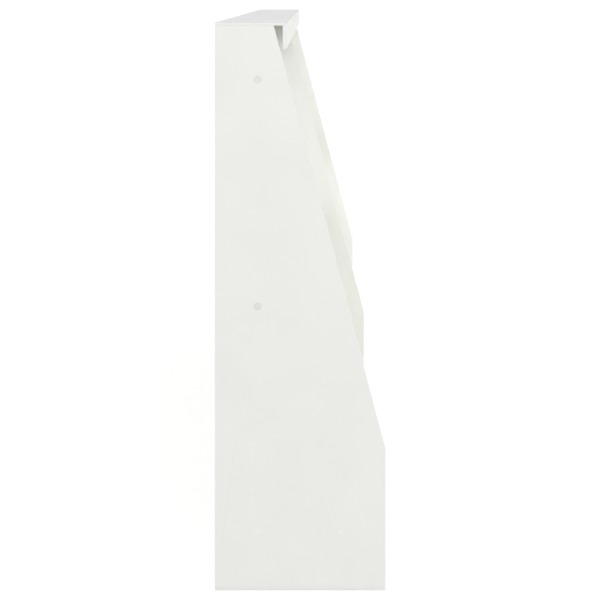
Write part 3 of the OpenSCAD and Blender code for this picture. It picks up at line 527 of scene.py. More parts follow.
@dataclass(frozen=True)
class ZincPlate(Finish):
    """Rolled steel with a bright zinc plating.

    The plating breaks the light into small crystals of slightly different grey, and the rolling leaves
    long fine lines along the strip.
    """

    bright: str = "#cfd2d4"
    dull: str = "#a3a8ac"
    gloss: Pair = (0.22, 0.5)  # roughness at the foot of a rolled line and on its crest
    crystal_size: float = 5.0
    line_pitch: float = 1.0
    line_squeeze: float = 0.04  # scale along the strip, which draws the lines out
    line_depth: float = 0.03
    line_strength: float = 0.2
    edges: EasedEdges = field(default_factory=lambda: EasedEdges(radius=0.4))

    def wire(self, tree: bpy.types.NodeTree) -> bpy.types.Node:
        """Tints each crystal cell by its own colour and scores the rolling lines into the gloss.

        Args:
            tree: The node tree of the plating's material.

        Returns:
            The plating's shader.
        """
        place = add_node(tree, "ShaderNodeTexCoord").outputs["Object"]
        crystal = add_node(tree, "ShaderNodeTexVoronoi", {"Vector": place, "Scale": cells(self.crystal_size)})
        grey = add_node(tree, "ShaderNodeSeparateColor", {"Color": crystal.outputs["Color"]})
        tones = {"Factor": grey, "A": linear(self.bright), "B": linear(self.dull)}
        colour = add_node(tree, "ShaderNodeMix", tones, data_type="RGBA")
        drawn = (self.line_squeeze, 1.0, 1.0)
        strip = add_node(tree, "ShaderNodeMapping", {"Vector": place, "Scale": drawn})
        lines = add_node(tree, "ShaderNodeTexNoise", {"Vector": strip, "Scale": cells(self.line_pitch)})
        between, on_line = self.gloss
        gloss = add_node(tree, "ShaderNodeMapRange", {"Value": lines, "To Min": between, "To Max": on_line})
        rounded, _ = self.edges.wire(tree, 0.0)
        scored = {"Strength": self.line_strength, "Distance": mm(self.line_depth), "Height": lines}
        relief = add_node(tree, "ShaderNodeBump", scored | {"Normal": rounded})
        surface = {"Base Color": colour, "Metallic": 1.0, "Roughness": gloss, "Normal": relief}
        return add_node(tree, "ShaderNodeBsdfPrincipled", surface)


@dataclass(frozen=True)
class SatinBrass(Finish):
    """Brass, stamped or turned, satined and lacquered.

    Fine marks run along a stamped leaf and round a turned knob, so that its highlight spreads into a
    band. The lacquer lets the metal darken first in the hollows that no cloth reaches.
    """

    metal: str = "#cdb076"
    tarnish: str = "#7d6238"
    turned: bool = False  # turned pieces carry the point attributes "along" and "hollow"
    gloss: Pair = (0.2, 0.34)  # roughness in the marks and between them
    mark_pitch: float = 0.9  # a lathe's feed marks are near 0.2 mm, drawn coarser so that they show
    mark_squeeze: float = 0.05  # scale along a stamped leaf, which draws its marks out
    mark_depth: float = 0.04
    mark_strength: float = 0.12
    cloud_size: float = 11.0
    cloud_range: Pair = (0.4, 0.9)  # height of the noise at which a leaf's tarnish starts and is strongest
    cloud_share: float = 0.5  # share of the tarnish where it is strongest
    edges: EasedEdges = field(default_factory=lambda: EasedEdges(radius=0.5))

    def wire(self, tree: bpy.types.NodeTree) -> bpy.types.Node:
        """Darkens the metal in hollows and clouds, and scores the marks into its gloss and relief.

        Args:
            tree: The node tree of the brass's material.

        Returns:
            The brass's shader.
        """
        place = add_node(tree, "ShaderNodeTexCoord").outputs["Object"]
        clouds = add_node(tree, "ShaderNodeTexNoise", {"Vector": place, "Scale": cells(self.cloud_size)})
        scored = {"Strength": self.mark_strength, "Distance": mm(self.mark_depth)}
        if self.turned:
            along, hollow = (
                add_node(tree, "ShaderNodeAttribute", attribute_name=name).outputs["Fac"]
                for name in ("along", "hollow")
            )
            feed = {0: along, 1: 2.0 * math.pi / self.mark_pitch}
            turns = add_node(tree, "ShaderNodeMath", feed, operation="MULTIPLY")
            marks = add_node(tree, "ShaderNodeMath", {0: turns}, operation="SINE")
            kept = {0: clouds, 1: hollow}
            dark = add_node(tree, "ShaderNodeMath", kept, operation="MULTIPLY", use_clamp=True)
        else:
            drawn = (self.mark_squeeze, 1.0, 1.0)
            strip = add_node(tree, "ShaderNodeMapping", {"Vector": place, "Scale": drawn})
            marks = add_node(tree, "ShaderNodeTexNoise", {"Vector": strip, "Scale": cells(self.mark_pitch)})
            start, full = self.cloud_range
            dulled = {"Value": clouds, "From Min": start, "From Max": full, "To Max": self.cloud_share}
            dark = add_node(tree, "ShaderNodeMapRange", dulled)
            scored["Normal"], _ = self.edges.wire(tree, 0.0)
        tones = {"Factor": dark, "A": linear(self.metal), "B": linear(self.tarnish)}
        colour = add_node(tree, "ShaderNodeMix", tones, data_type="RGBA")
        deep, crest = self.gloss
        sheen = {"Value": marks, "From Min": -1.0, "To Min": deep, "To Max": crest}
        gloss = add_node(tree, "ShaderNodeMapRange", sheen)
        relief = add_node(tree, "ShaderNodeBump", scored | {"Height": marks})
        surface = {"Base Color": colour, "Metallic": 1.0, "Roughness": gloss, "Normal": relief}
        return add_node(tree, "ShaderNodeBsdfPrincipled", surface)


@dataclass(frozen=True)
class RawBeech(Finish):
    """Beech dowel rod, fluted and left raw: pinkish straw with short brown rays along the grain."""

    wood: str = "#dcbf94"
    ray: str = "#a97c4e"
    ior: float = 1.5
    gloss: float = 0.7
    ray_size: float = 0.9
    ray_squeeze: float = 0.15  # scale along the rod, which draws the rays out
    ray_range: Pair = (0.55, 0.75)  # height of the noise at which a ray's colour starts and is full
    ray_depth: float = 0.1
    ray_strength: float = 0.3

    def wire(self, tree: bpy.types.NodeTree) -> bpy.types.Node:
        """Stretches a noise along the rod and keeps its peaks as rays.

        Args:
            tree: The node tree of the beech's material.

        Returns:
            The beech's shader.
        """
        place = add_node(tree, "ShaderNodeTexCoord").outputs["Object"]
        drawn = (self.ray_squeeze, 1.0, 1.0)
        grain = add_node(tree, "ShaderNodeMapping", {"Vector": place, "Scale": drawn})
        rays = add_node(tree, "ShaderNodeTexNoise", {"Vector": grain, "Scale": cells(self.ray_size)})
        start, full = self.ray_range
        peaks = add_node(tree, "ShaderNodeMapRange", {"Value": rays, "From Min": start, "From Max": full})
        tones = {"Factor": peaks, "A": linear(self.wood), "B": linear(self.ray)}
        colour = add_node(tree, "ShaderNodeMix", tones, data_type="RGBA")
        raised = {"Strength": self.ray_strength, "Distance": mm(self.ray_depth), "Height": rays}
        relief = add_node(tree, "ShaderNodeBump", raised)
        surface = {"Base Color": colour, "Roughness": self.gloss, "IOR": self.ior, "Normal": relief}
        return add_node(tree, "ShaderNodeBsdfPrincipled", surface)


@dataclass(frozen=True)
class PaperSweep(Finish):
    """Matt white studio paper, which the eye and every reflection see as nearly shadowless white."""

    paper: str = "#efefef"
    tooth: str = "#e2e2e2"
    tooth_size: float = 40.0
    tooth_share: float = 0.06  # share of the tooth's colour in the deepest dents
    matt: float = 0.0  # roughness of the plain matt shader, which has no gloss
    lift: float = 0.82  # share of plain white that the eye gets in place of the lit paper
    plain: float = 1.075  # strength of that white, at which the open floor comes out as just white

    def wire(self, tree: bpy.types.NodeTree) -> bpy.types.Node:
        """Mixes the lit paper with plain white for the rays that are seen.

        Args:
            tree: The node tree of the paper's material.

        Returns:
            The paper's shader.
        """
        place = add_node(tree, "ShaderNodeTexCoord").outputs["Object"]
        dents = add_node(tree, "ShaderNodeTexNoise", {"Vector": place, "Scale": cells(self.tooth_size)})
        shade = add_node(tree, "ShaderNodeMapRange", {"Value": dents, "To Max": self.tooth_share})
        tones = {"Factor": shade, "A": linear(self.paper), "B": linear(self.tooth)}
        colour = add_node(tree, "ShaderNodeMix", tones, data_type="RGBA")
        paper = add_node(tree, "ShaderNodeBsdfDiffuse", {"Color": colour, "Roughness": self.matt})
        white = add_node(tree, "ShaderNodeEmission", {"Color": linear(WHITE), "Strength": self.plain})
        share = add_node(tree, "ShaderNodeMath", {0: seen_rays(tree), 1: self.lift}, operation="MULTIPLY")
        return add_node(tree, "ShaderNodeMixShader", {"Fac": share, 1: paper, 2: white})


def seen_rays(tree: bpy.types.NodeTree) -> bpy.types.Node:
    """Tells the rays that are seen from those that carry light.

    Args:
        tree: The node tree that gets the nodes.

    Returns:
        A node that gives 1 for camera, glossy and transmitted rays, and 0 for the light itself.
    """
    path = add_node(tree, "ShaderNodeLightPath").outputs
    mirrored = {0: path["Is Glossy Ray"], 1: path["Is Transmission Ray"]}
    glossy = add_node(tree, "ShaderNodeMath", mirrored, operation="MAXIMUM")
    return add_node(tree, "ShaderNodeMath", {0: path["Is Camera Ray"], 1: glossy}, operation="MAXIMUM")


# ---- lathed surfaces -----------------------------------------------------------------------------


@dataclass
class Surface:
    """Points in metres, quads, triangles and point attributes of closed surfaces."""

    points: np.ndarray
    quads: np.ndarray
    triangles: np.ndarray
    attributes: dict[str, np.ndarray]

    @staticmethod
    def joined(parts: list["Surface"]) -> "Surface":
        """Joins surfaces into one, by moving each one's point numbers past those before it.

        Args:
            parts: The surfaces, which all carry the same attributes.

        Returns:
            The one surface, with the points of all of them in order.
        """
        starts = np.cumsum([0] + [len(part.points) for part in parts[:-1]])
        return Surface(
            np.concatenate([part.points for part in parts]),
            np.concatenate([part.quads + start for part, start in zip(parts, starts)]),
            np.concatenate([part.triangles + start for part, start in zip(parts, starts)]),
            {
                name: np.concatenate([part.attributes[name] for part in parts])
                for name in parts[0].attributes
            },
        )

    def piece(self, name: str, finish: Finish) -> bpy.types.Object:
        """Makes a smooth mesh object at the origin.

        Args:
            name: Name of the object and its mesh.
            finish: Finish of the whole surface.

        Returns:
            The object, linked to the scene.
        """
        mesh = bpy.data.meshes.new(name)
        mesh.from_pydata(self.points.tolist(), [], self.quads.tolist() + self.triangles.tolist())
        mesh.polygons.foreach_set("use_smooth", np.ones(len(mesh.polygons), bool))
        for key, values in self.attributes.items():
            attribute = mesh.attributes.new(key, "FLOAT", "POINT")
            attribute.data.foreach_set("value", values.astype(np.float32))
        mesh.materials.append(finish.material())
        mesh.update()
        made = bpy.data.objects.new(name, mesh)
        bpy.context.scene.collection.objects.link(made)
        return made


@dataclass(frozen=True)
class Lathe:
    """Turns a profile about an axis into a closed surface."""

    segments: int

    def turn(self, profile: np.ndarray, foot: np.ndarray, axis: np.ndarray) -> Surface:
        """Carries a profile round an axis.

        Args:
            profile: Radius and height of each ring in millimetres, from the foot's centre to the top's
                centre. Its first and last radius are 0.
            foot: Centre of the foot in metres.
            axis: Unit direction from the foot to the top.

        Returns:
            The surface. The point at angle a of a ring is foot + axis * height + (u * cos a + v * sin a)
            * radius, where u, v and the axis are at right angles. The end rings are single points.
            Its attribute "along" is the way along the profile in millimetres.
        """
        u, v = square_to(axis)
        angle = np.linspace(0.0, 2.0 * np.pi, self.segments, endpoint=False)
        around = np.cos(angle)[:, None] * u + np.sin(angle)[:, None] * v
        rings = profile[1:-1] / MM_PER_METRE
        body = foot + rings[:, 1, None, None] * axis + rings[:, 0, None, None] * around
        poles = foot + profile[[0, -1], 1][:, None] / MM_PER_METRE * axis
        points = np.concatenate([body.reshape(-1, 3), poles])

        count = len(rings)
        column = np.arange(self.segments)
        after = (column + 1) % self.segments
        lower = np.arange(count - 1)[:, None] * self.segments
        upper = lower + self.segments
        quads = np.stack([lower + column, lower + after, upper + after, upper + column], -1)
        last = (count - 1) * self.segments
        bottom, top = len(points) - 2, len(points) - 1
        triangles = np.concatenate(
            [
                np.stack([np.full(self.segments, bottom), after, column], -1),
                np.stack([np.full(self.segments, top), last + column, last + after], -1),
            ]
        )
        steps = np.linalg.norm(np.diff(profile, axis=0), axis=1)
        way = np.concatenate([[0.0], np.cumsum(steps)])
        along = np.concatenate([np.repeat(way[1:-1], self.segments), way[[0, -1]]])
        return Surface(points, quads.reshape(-1, 4), triangles, {"along": along})


def square_to(axis: np.ndarray) -> tuple[np.ndarray, np.ndarray]:
    """Finds two directions that are square to an axis and to each other.

    Args:
        axis: Unit direction.

    Returns:
        Unit directions u and v. u is the cross product of the axis and X, or Y where the axis runs along
        X, and v is that of the axis and u.
    """
    aside = (1.0, 0.0, 0.0) if abs(axis[0]) < LOOKS_ALONG else (0.0, 1.0, 0.0)
    u = np.cross(axis, aside)
    u /= np.linalg.norm(u)
    return u, np.cross(axis, u)


def arc(centre: Pair, radius: float, start: float, end: float, steps: int) -> np.ndarray:
    """Gives points of a circle in a profile.

    Args:
        centre: Radius and height of the circle's centre.
        radius: Radius of the circle.
        start: First angle in degrees, counted from straight outwards towards the top.
        end: Last angle in degrees.
        steps: Number of points.

    Returns:
        Points centre + radius * (cos a, sin a) for evenly spaced angles a.
    """
    a = np.radians(np.linspace(start, end, steps))
    return np.stack([centre[0] + radius * np.cos(a), centre[1] + radius * np.sin(a)], -1)


def turned_foot(node: bpy.types.Object, axis: np.ndarray, height: float) -> np.ndarray:
    """Finds where a turned node stands.

    Args:
        node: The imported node, which is round about the axis.
        axis: Unit direction from its foot to its top.
        height: Height of the part above the foot in millimetres.

    Returns:
        Centre of the foot in metres: half way between the node's extremes across the axis, and its height
        below the node's top along the axis.
    """
    points = mesh_points(node)
    base = axis * ((points @ axis).max() - mm(height))
    for way in square_to(axis):
        spread = points @ way
        base += way * (spread.min() + spread.max()) / 2
    return base


def mesh_points(node: bpy.types.Object) -> np.ndarray:
    """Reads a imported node's points.

    Args:
        node: The node's object, which sits at the origin.

    Returns:
        The points in metres, one to a row.
    """
    flat = np.empty(len(node.data.vertices) * 3, np.float32)
    node.data.vertices.foreach_get("co", flat)
    return flat.reshape(-1, 3).astype(float)


# ---- the desk ------------------------------------------------------------------------------------


@dataclass
class Desk:
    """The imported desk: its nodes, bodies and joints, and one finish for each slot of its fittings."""

    frame: dict[str, Any]
    finishes: dict[Slot, Finish] = field(
        default_factory=lambda: {
            Slot.PLASTIC: MouldedPlastic("white_moulded_polystyrene"),
            Slot.ZINC: ZincPlate("zinc_plated_steel"),
            Slot.HINGE: SatinBrass("stamped_brass"),
            Slot.KNOB: SatinBrass("turned_brass", turned=True),
            Slot.DOWEL: RawBeech("raw_beech"),
        }
    )

    def node(self, name: str) -> bpy.types.Object:
        """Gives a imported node's object."""
        return self.frame["nodes"][name]

    def slot(self, name: str) -> Slot:
        """Gives the slot that the record names for a node."""
        parts = self.frame["record"]["subparts"]
        return Slot(next(part["material_slot"] for part in parts if part["node"] == name))

    def lean(self) -> float:
        """Gives the closed flap's lean from upright in radians: how far it opens past a right angle."""
        hinge = next(joint for joint in self.frame["joints"] if joint["name"] == "flap_hinge")
        return math.radians(max(hinge["range_deg"]) - 90.0)

    def dress(self, name: str, finish: Finish | None = None) -> None:
        """Gives a node its finish.

        Args:
            name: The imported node.
            finish: The finish, or None for that of the node's slot.
        """
        chosen = self.finishes[self.slot(name)] if finish is None else finish
        for holder in self.node(name).material_slots:
            holder.material = chosen.material()
        LOG.info("%s: %s", name, chosen.name)


@dataclass
class SubAssembly(ABC):
    """Pieces of the desk that are built and dressed together."""

    desk: Desk
    boards: Mapping[Lie, tuple[str, ...]] = field(default_factory=dict)
    fittings: tuple[str, ...] = ()

    def build(self) -> None:
        """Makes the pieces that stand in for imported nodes, if it has any."""

    def dress(self) -> None:
        """Gives each board a finish that knows how it lies, and each fitting the finish of its slot."""
        for lie, names in self.boards.items():
            for name in names:
                self.desk.dress(name, MelamineBoard(f"white_melamine_{lie.name.lower()}", lie.value))
        for name in self.fittings:
            self.desk.dress(name)

    def finish(self) -> None:
        """Builds and then dresses the sub-assembly."""
        self.build()
        self.dress()


@dataclass
class Carcass(SubAssembly):
    """Uprights, cap board with its lip, fixed boards and backs."""

    boards: Mapping[Lie, tuple[str, ...]] = field(
        default_factory=lambda: {
            Lie.UPRIGHT: ("upright_left", "upright_middle", "upright_right"),
            Lie.LEVEL: ("bottom_shelf_left", "bottom_shelf_right", "worktop_left", "worktop_right"),
            Lie.FACING: ("top_lip", "upper_rail_left", "upper_rail_right"),
        }
    )

    def dress(self) -> None:
        """Dresses the boards, paints shade on the cap board's top, and turns the backs' raw side to the wall.
        """
        super().dress()
        # the cap board's top gets painted shade
        self.desk.dress("top_panel", ShadedTopBoard("white_melamine_top_shaded", Lie.LEVEL.value))
        for name in ("back_panel_left", "back_panel_right"):
            self.desk.dress(name, PrintedHardboard("hardboard_back", (0.0, 1.0, 0.0)))


@dataclass
class SideFixings(SubAssembly):
    """Screws, dowels and brackets of the carcass, and the domed covers over the outer screws."""

    fittings: tuple[str, ...] = (
        "confirmat_screws",
        "cam_bolts",
        "cam_locks",
        "dowels",
        "corner_brackets",
        "bracket_screws",
        "wall_brackets",
    )
    cover_radius: float = 10.25
    cover_thickness: float = 0.6
    cover_gloss: float = 0.25
    dome: float = 0.15
    dome_rings: int = 14
    rim_round: float = 0.32
    rim_rings: int = 6
    rim_end: float = 80.0  # degrees of the rim's quarter circle at which the dome takes over
    segments: int = 48
    reach: float = 2.5  # distance in cover radii within which all points belong to one cover
    ages: tuple[float, ...] = (0.05, 0.02, 0.5, 0.4)  # painted shade of each cover, from the lowest cover of a side to the highest

    def cover_profile(self) -> np.ndarray:
        """Gives a cover's profile.

        Returns:
            Rings from the flat foot round the rim and over a dome. The dome sinks with the square of the
            way from its centre, and the rim is nearly a quarter circle.
        """
        rim_centre = (self.cover_radius - self.rim_round, self.cover_thickness - self.dome - self.rim_round)
        rim = arc(rim_centre, self.rim_round, start=0.0, end=self.rim_end, steps=self.rim_rings)
        inner = np.linspace(rim[-1, 0], 0.0, self.dome_rings)[1:]
        fall = self.cover_thickness - rim[-1, 1]
        top = np.stack([inner, self.cover_thickness - fall * (inner / rim[-1, 0]) ** 2], -1)
        foot = np.array([[0.0, 0.0], [self.cover_radius / 2, 0.0], [self.cover_radius, 0.0]])
        return np.concatenate([foot, rim, top])

    def build(self) -> None:
        """Lathes one cover over each outer screw, in place of the node cover_caps."""
        profile, lathe, parts = self.cover_profile(), Lathe(self.segments), []
        for side in Side:
            points = mesh_points(self.desk.node("cover_caps"))
            points = points[points[:, 0] * side.value > 0.0]
            centres = sorted(self.clusters(points[:, 1:]), key=lambda spot: (spot[1], spot[0]))
            seat = np.abs(points[:, 0]).min() * side.value
            for (y, z), age in zip(centres, self.ages, strict=True):
                cover = lathe.turn(profile, np.array([seat, y, z]), np.array([side.value, 0.0, 0.0]))
                # painted shade of each cover, darker on the upper two
                cover.attributes["age"] = np.full(len(cover.points), age)
                parts.append(cover)
        finish = MouldedPlastic("white_screw_covers", tone="age", gloss=self.cover_gloss)
        covers = Surface.joined(parts).piece("screw_covers", finish)
        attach(covers, "case")
        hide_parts("cover_caps")
        LOG.info("screw_covers: %d domes", len(parts))

    def clusters(self, points: np.ndarray) -> list[Pair]:
        """Finds the centres of round groups of points that lie further apart than a cover is wide.

        Args:
            points: Points of several covers in the plane of an upright, one to a row, in metres.

        Returns:
            The middle of each group, half way between its extremes.
        """
        centres = []
        while len(points):
            near = np.linalg.norm(points - points[0], axis=1) < mm(self.reach * self.cover_radius)
            low, high = points[near].min(0), points[near].max(0)
            centres.append((float(low[0] + high[0]) / 2, float(low[1] + high[1]) / 2))
            points = points[~near]
        return centres


@dataclass(frozen=True)
class TurnedKnob:
    """A turned knob: a foot with a cove, a waisted neck and a domed head with a scribed ring."""

    radius: float
    height: float
    stud_radius: float = 2.0
    stud_length: float = 14.0
    foot_edge: float = 0.4  # height of the foot under its cove
    arris: float = 0.2  # radius of the small rounded edges of foot and head
    neck: float = 0.42  # shares of the knob's radius: the neck, and how far its waist draws in
    waist: float = 0.06
    head: float = 0.38  # shares of the knob's height: the head, its dome, the cove, and the ring's depth
    dome: float = 0.05
    cove: float = 0.16
    ring_depth: float = 0.015
    ring_place: float = 0.66  # shares of the dome's radius: the ring, and half its width
    ring_width: float = 0.05
    bright_from: float = 0.64  # share of the knob's height above which cloth keeps it bright
    bright: float = 0.12  # tarnish of what lies above that
    hollow: Pair = (0.35, 1.3)  # tarnish below the head, and what is added to it towards the axis
    hollow_reach: float = 0.7  # share of the knob's radius within which it is added
    segments: int = 72

    def profile(self) -> np.ndarray:
        """Gives the knob's profile.

        Returns:
            Rings from the stud's end to the head's centre. The cove is a quarter circle, the neck narrows
            by a half sine, the rim is a half circle, and the dome sinks with the square of the way from
            its centre. The scribed ring is a bell-shaped groove in the dome.
        """
        neck, cove, arris = self.neck * self.radius, self.cove * self.height, self.arris
        foot_radius, neck_foot = neck + cove, self.foot_edge + cove
        under_head = (1.0 - self.head) * self.height
        stud = [[0.0, -self.stud_length], [self.stud_radius, -self.stud_length], [self.stud_radius, 0.0]]
        edge = arc((foot_radius - arris, arris), arris, start=-90.0, end=0.0, steps=4)
        scoop = arc((foot_radius, neck_foot), cove, start=270.0, end=180.0, steps=10)[1:]
        rise = np.linspace(neck_foot, under_head - arris, 10)[1:]
        share = (rise - rise[0]) / (rise[-1] - rise[0])
        waist = np.stack([neck - self.waist * self.radius * np.sin(np.pi * share), rise], -1)
        flare = arc((neck + arris, under_head - arris), arris, start=180.0, end=90.0, steps=4)[1:]
        rim_radius = (self.head - self.dome) * self.height / 2
        rim_centre = (self.radius - rim_radius, under_head + rim_radius)
        rim = arc(rim_centre, rim_radius, start=-90.0, end=88.0, steps=18)
        inner = np.linspace(rim[-1, 0], 0.0, 40)[1:]
        share = inner / rim[-1, 0]
        ring = np.exp(-(((share - self.ring_place) / self.ring_width) ** 2))
        fall = (self.height - rim[-1, 1]) * share**2 + self.ring_depth * self.height * ring
        crown = np.stack([inner, self.height - fall], -1)
        return np.concatenate([stud, edge, scoop, waist, flare, rim, crown])

    def surface(self, foot: np.ndarray, axis: np.ndarray) -> Surface:
        """Turns the knob and marks its hollows.

        Args:
            foot: Centre of the foot in metres.
            axis: Unit direction out of the board.

        Returns:
            The surface, with the attribute "hollow" for the tarnish. Below the head it grows as the metal
            draws in towards the axis, and on the head it is small.
        """
        made = Lathe(self.segments).turn(self.profile(), foot, axis)
        height = (made.points - foot) @ axis
        across = np.linalg.norm(made.points - foot - np.outer(height, axis), axis=1)
        inward = np.clip(1.0 - across / mm(self.hollow_reach * self.radius), 0.0, 1.0)
        least, gain = self.hollow
        is_low = height / mm(self.height) < self.bright_from
        made.attributes["hollow"] = np.where(is_low, least + gain * inward, self.bright)
        return made


@dataclass
class Knobbed(SubAssembly):
    """A sub-assembly with turned knobs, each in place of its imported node."""

    knobs: tuple[tuple[str, str], ...] = ()  # each knob's node and body
    knob: TurnedKnob = field(default_factory=lambda: TurnedKnob(radius=15.0, height=24.0))

    def axis(self) -> np.ndarray:
        """Gives the direction that the knobs stand out in: straight to the front."""
        return np.array([0.0, -1.0, 0.0])

    def build(self) -> None:
        """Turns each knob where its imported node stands."""
        for node, body in self.knobs:
            foot = turned_foot(self.desk.node(node), self.axis(), self.knob.height)
            knob = self.knob.surface(foot, self.axis())
            piece = knob.piece(f"{node}_turned", self.desk.finishes[Slot.KNOB])
            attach(piece, body)
            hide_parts(node)
            LOG.info("%s: turned, %d points", piece.name, len(piece.data.vertices))


@dataclass
class WritingFlap(Knobbed):
    """The drop-front flap with its hinges, catch and knob."""

    fittings: tuple[str, ...] = (
        "flap_strike_plate",
        "flap_catch",
        "hinge_fixed_leaves",
        "hinge_moving_leaves",
        "hinge_pins",
        "hinge_fixed_screws",
        "hinge_moving_screws",
    )
    knobs: tuple[tuple[str, str], ...] = (("flap_knob", "flap"),)

    def axis(self) -> np.ndarray:
        """Gives the direction square to the leaning flap's face."""
        lean = self.desk.lean()
        return np.array([0.0, -math.cos(lean), math.sin(lean)])

    def dress(self) -> None:
        """Gives the leaning board a finish of its own, and then dresses the fittings."""
        self.desk.dress("flap_panel", MelamineBoard("white_melamine_leaning", tuple(self.axis())))
        super().dress()


@dataclass
class Lopers(Knobbed):
    """The pull-out bars that carry the open flap, with their runners, guides and stops."""

    boards: Mapping[Lie, tuple[str, ...]] = field(
        default_factory=lambda: {Lie.UPRIGHT: ("loper_left", "loper_right"), Lie.LEVEL: ("loper_guides",)}
    )
    fittings: tuple[str, ...] = ("loper_left_stop", "loper_right_stop", "loper_runners", "runner_screws")
    knobs: tuple[tuple[str, str], ...] = (
        ("loper_left_knob", "loper_left_body"),
        ("loper_right_knob", "loper_right_body"),
    )
    knob: TurnedKnob = field(default_factory=lambda: TurnedKnob(radius=8.0, height=16.0))


@dataclass
class Shelves(SubAssembly):
    """The pigeonholes behind the flap and the shelves on pins in both bays."""

    boards: Mapping[Lie, tuple[str, ...]] = field(
        default_factory=lambda: {
            Lie.UPRIGHT: ("divider_1", "divider_2", "divider_3"),
            Lie.LEVEL: (
                "organiser_shelf_lower",
                "organiser_shelf_upper",
                "lower_shelf",
                "book_shelf_lower",
                "book_shelf_upper",
            ),
        }
    )
    fittings: tuple[str, ...] = ("shelf_pins",)


@dataclass
class Drawers(Knobbed):
    """The two drawers and their runners."""

    boards: Mapping[Lie, tuple[str, ...]] = field(
        default_factory=lambda: {
            Lie.UPRIGHT: ("drawer_upper_sides", "drawer_lower_sides"),
            Lie.FACING: (
                "drawer_upper_front",
                "drawer_upper_back",
                "drawer_lower_front",
                "drawer_lower_back",
            ),
        }
    )
    fittings: tuple[str, ...] = ("drawer_runners",)
    knobs: tuple[tuple[str, str], ...] = (
        ("drawer_upper_knob", "drawer_upper"),
        ("drawer_lower_knob", "drawer_lower"),
    )

    def dress(self) -> None:
        """Gives the bottoms a sheet whose raw side faces down, and then dresses the boxes."""
        for name in ("drawer_upper_bottom", "drawer_lower_bottom"):
            self.desk.dress(name, PrintedHardboard("hardboard_bottom", (0.0, 0.0, -1.0)))
        super().dress()


# ---- the studio ----------------------------------------------------------------------------------


@dataclass(frozen=True)
class BroadLight:
    """A far, very wide light, which lights the desk and the whole floor evenly."""

    name: str
    azimuth: float  # degrees from the desk's front towards its left end
    elevation: float
    strength: float
    spread: float
    height: float = 4000.0

    def light(self) -> None:
        """Adds the light, turned so that it shines level and then down by its elevation."""
        data = bpy.data.lights.new(self.name, "SUN")
        data.energy, data.angle = self.strength, math.radians(self.spread)
        lamp = bpy.data.objects.new(self.name, data)
        lamp.location = (0.0, 0.0, mm(self.height))
        lamp.rotation_euler = (math.radians(90.0 - self.elevation), 0.0, math.radians(-self.azimuth))
        bpy.context.scene.collection.objects.link(lamp)


@dataclass(frozen=True)
class SoftBox:
    """A large square lamp that points at a spot on the desk, with or without a grid on its front."""

    name: str
    place: tuple[float, float, float]
    aim: tuple[float, float, float]
    size: float
    power: float
    grid: float = 180.0  # full angle that the light is held to

    def light(self) -> None:
        """Adds the lamp, turned so that it shines along the line from its place to its aim."""
        data = bpy.data.lights.new(self.name, "AREA")
        data.shape, data.size, data.energy = "SQUARE", mm(self.size), self.power
        data.spread = math.radians(self.grid)
        lamp = bpy.data.objects.new(self.name, data)
        lamp.location = [mm(c) for c in self.place]
        way = np.subtract(self.aim, self.place)
        level = math.hypot(way[0], way[1])
        lamp.rotation_euler = (math.atan2(level, -way[2]), 0.0, math.atan2(way[1], way[0]) - math.pi / 2)
        bpy.context.scene.collection.objects.link(lamp)


@dataclass(frozen=True)
class Viewpoint:
    """A camera at standing eye height beyond the desk's left end, looking level along its width.

    The lens is shifted down, as on a view camera, so that the uprights stay upright in the picture.
    """

    place: tuple[float, float, float] = (-2470.0, -36.4, 1573.4)
    lens: float = 39.06
    sensor: float = 36.0
    shift: Pair = (-0.0232, -0.5088)
    clip: Pair = (50.0, 1000000.0)

    def set_up(self) -> None:
        """Adds the camera and makes it the scene's own."""
        data = bpy.data.cameras.new("view_camera")
        data.lens, data.sensor_width = self.lens, self.sensor
        data.shift_x, data.shift_y = self.shift
        data.clip_start, data.clip_end = (mm(c) for c in self.clip)
        camera = bpy.data.objects.new("view_camera", data)
        camera.location = [mm(c) for c in self.place]
        camera.rotation_euler = (math.radians(90.0), 0.0, math.radians(-90.0))
        bpy.context.scene.collection.objects.link(camera)
        bpy.context.scene.camera = camera


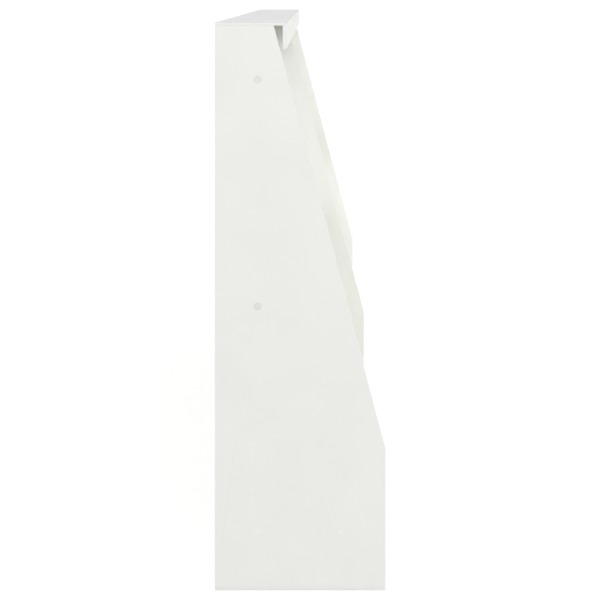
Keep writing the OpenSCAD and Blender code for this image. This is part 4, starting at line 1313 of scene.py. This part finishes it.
@dataclass
class Studio:
    """A pale floor, a plain white surround and soft lamps."""

    floor_size: float = 800000.0
    floor_lines: int = 9
    ambient: float = 0.86
    bounces: int = 16
    viewpoint: Viewpoint = field(default_factory=Viewpoint)
    lamps: tuple[BroadLight | SoftBox, ...] = (
        BroadLight("key_light", azimuth=48.0, elevation=10.0, strength=0.3, spread=60.0),
        SoftBox("side_softbox", (-2450.0, -500.0, 2300.0), (-750.0, 0.0, 1300.0), size=1200.0, power=5.3),
        SoftBox("low_softbox", (-690.0, -1500.0, 250.0), (0.0, -180.0, 350.0), size=400.0, power=3.5),
        SoftBox(
            "lower_bay_lamp",
            (-300.0, -1500.0, 200.0),
            (500.0, -200.0, 250.0),
            size=300.0,
            power=0.33,
            grid=50.0,
        ),
        SoftBox(
            "upper_bay_lamp",
            (0.0, -1800.0, 1250.0),
            (732.0, 20.0, 1150.0),
            size=400.0,
            power=0.2,
            grid=24.0,
        ),
    )

    def build(self) -> None:
        """Lays the floor, lights it and sets up the camera."""
        self.lay_floor()
        self.surround()
        for lamp in self.lamps:
            lamp.light()
        self.viewpoint.set_up()
        bpy.context.scene.view_settings.view_transform = "Standard"
        # white boards pass light on many times before it is lost in the bays
        bpy.context.scene.cycles.max_bounces = self.bounces
        bpy.context.scene.cycles.diffuse_bounces = self.bounces
        LOG.info("studio: %d lamps", len(self.lamps))

    def lay_floor(self) -> None:
        """Makes the floor as a square grid, level at height 0."""
        half, steps = mm(self.floor_size) / 2, self.floor_lines
        line = np.linspace(-half, half, steps)
        x, y = np.meshgrid(line, line)
        points = np.stack([x, y, np.zeros_like(x)], -1).reshape(-1, 3)
        corner = (np.arange(steps - 1)[:, None] * steps + np.arange(steps - 1)).reshape(-1)
        quads = np.stack([corner, corner + 1, corner + steps + 1, corner + steps], -1)
        no_triangles = np.empty((0, 3), int)
        floor = Surface(points, quads, no_triangles, {}).piece("studio_floor", PaperSweep("studio_paper"))

    def surround(self) -> None:
        """Gives the world a soft white light, and plain white to the rays that are seen."""
        world = bpy.data.worlds.new("studio_surround")
        bpy.context.scene.world = world
        world.use_nodes = True
        tree = world.node_tree
        tree.nodes.clear()
        soft = add_node(tree, "ShaderNodeBackground", {"Color": linear(WHITE), "Strength": self.ambient})
        plain = add_node(tree, "ShaderNodeBackground", {"Color": linear(WHITE), "Strength": 1.0})
        mixed = add_node(tree, "ShaderNodeMixShader", {"Fac": seen_rays(tree), 1: soft, 2: plain})
        add_node(tree, "ShaderNodeOutputWorld", {"Surface": mixed})


def main() -> None:
    """Builds each sub-assembly and the studio."""
    logging.basicConfig(level=logging.INFO, format="%(name)s: %(message)s")
    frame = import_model()
    desk = Desk(frame)
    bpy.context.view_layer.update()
    for kind in (Carcass, SideFixings, WritingFlap, Lopers, Shelves, Drawers):
        LOG.info("building %s", kind.__name__)
        kind(desk).finish()
    Studio().build()
    bpy.context.view_layer.update()


if __name__ == "__main__":
    main()
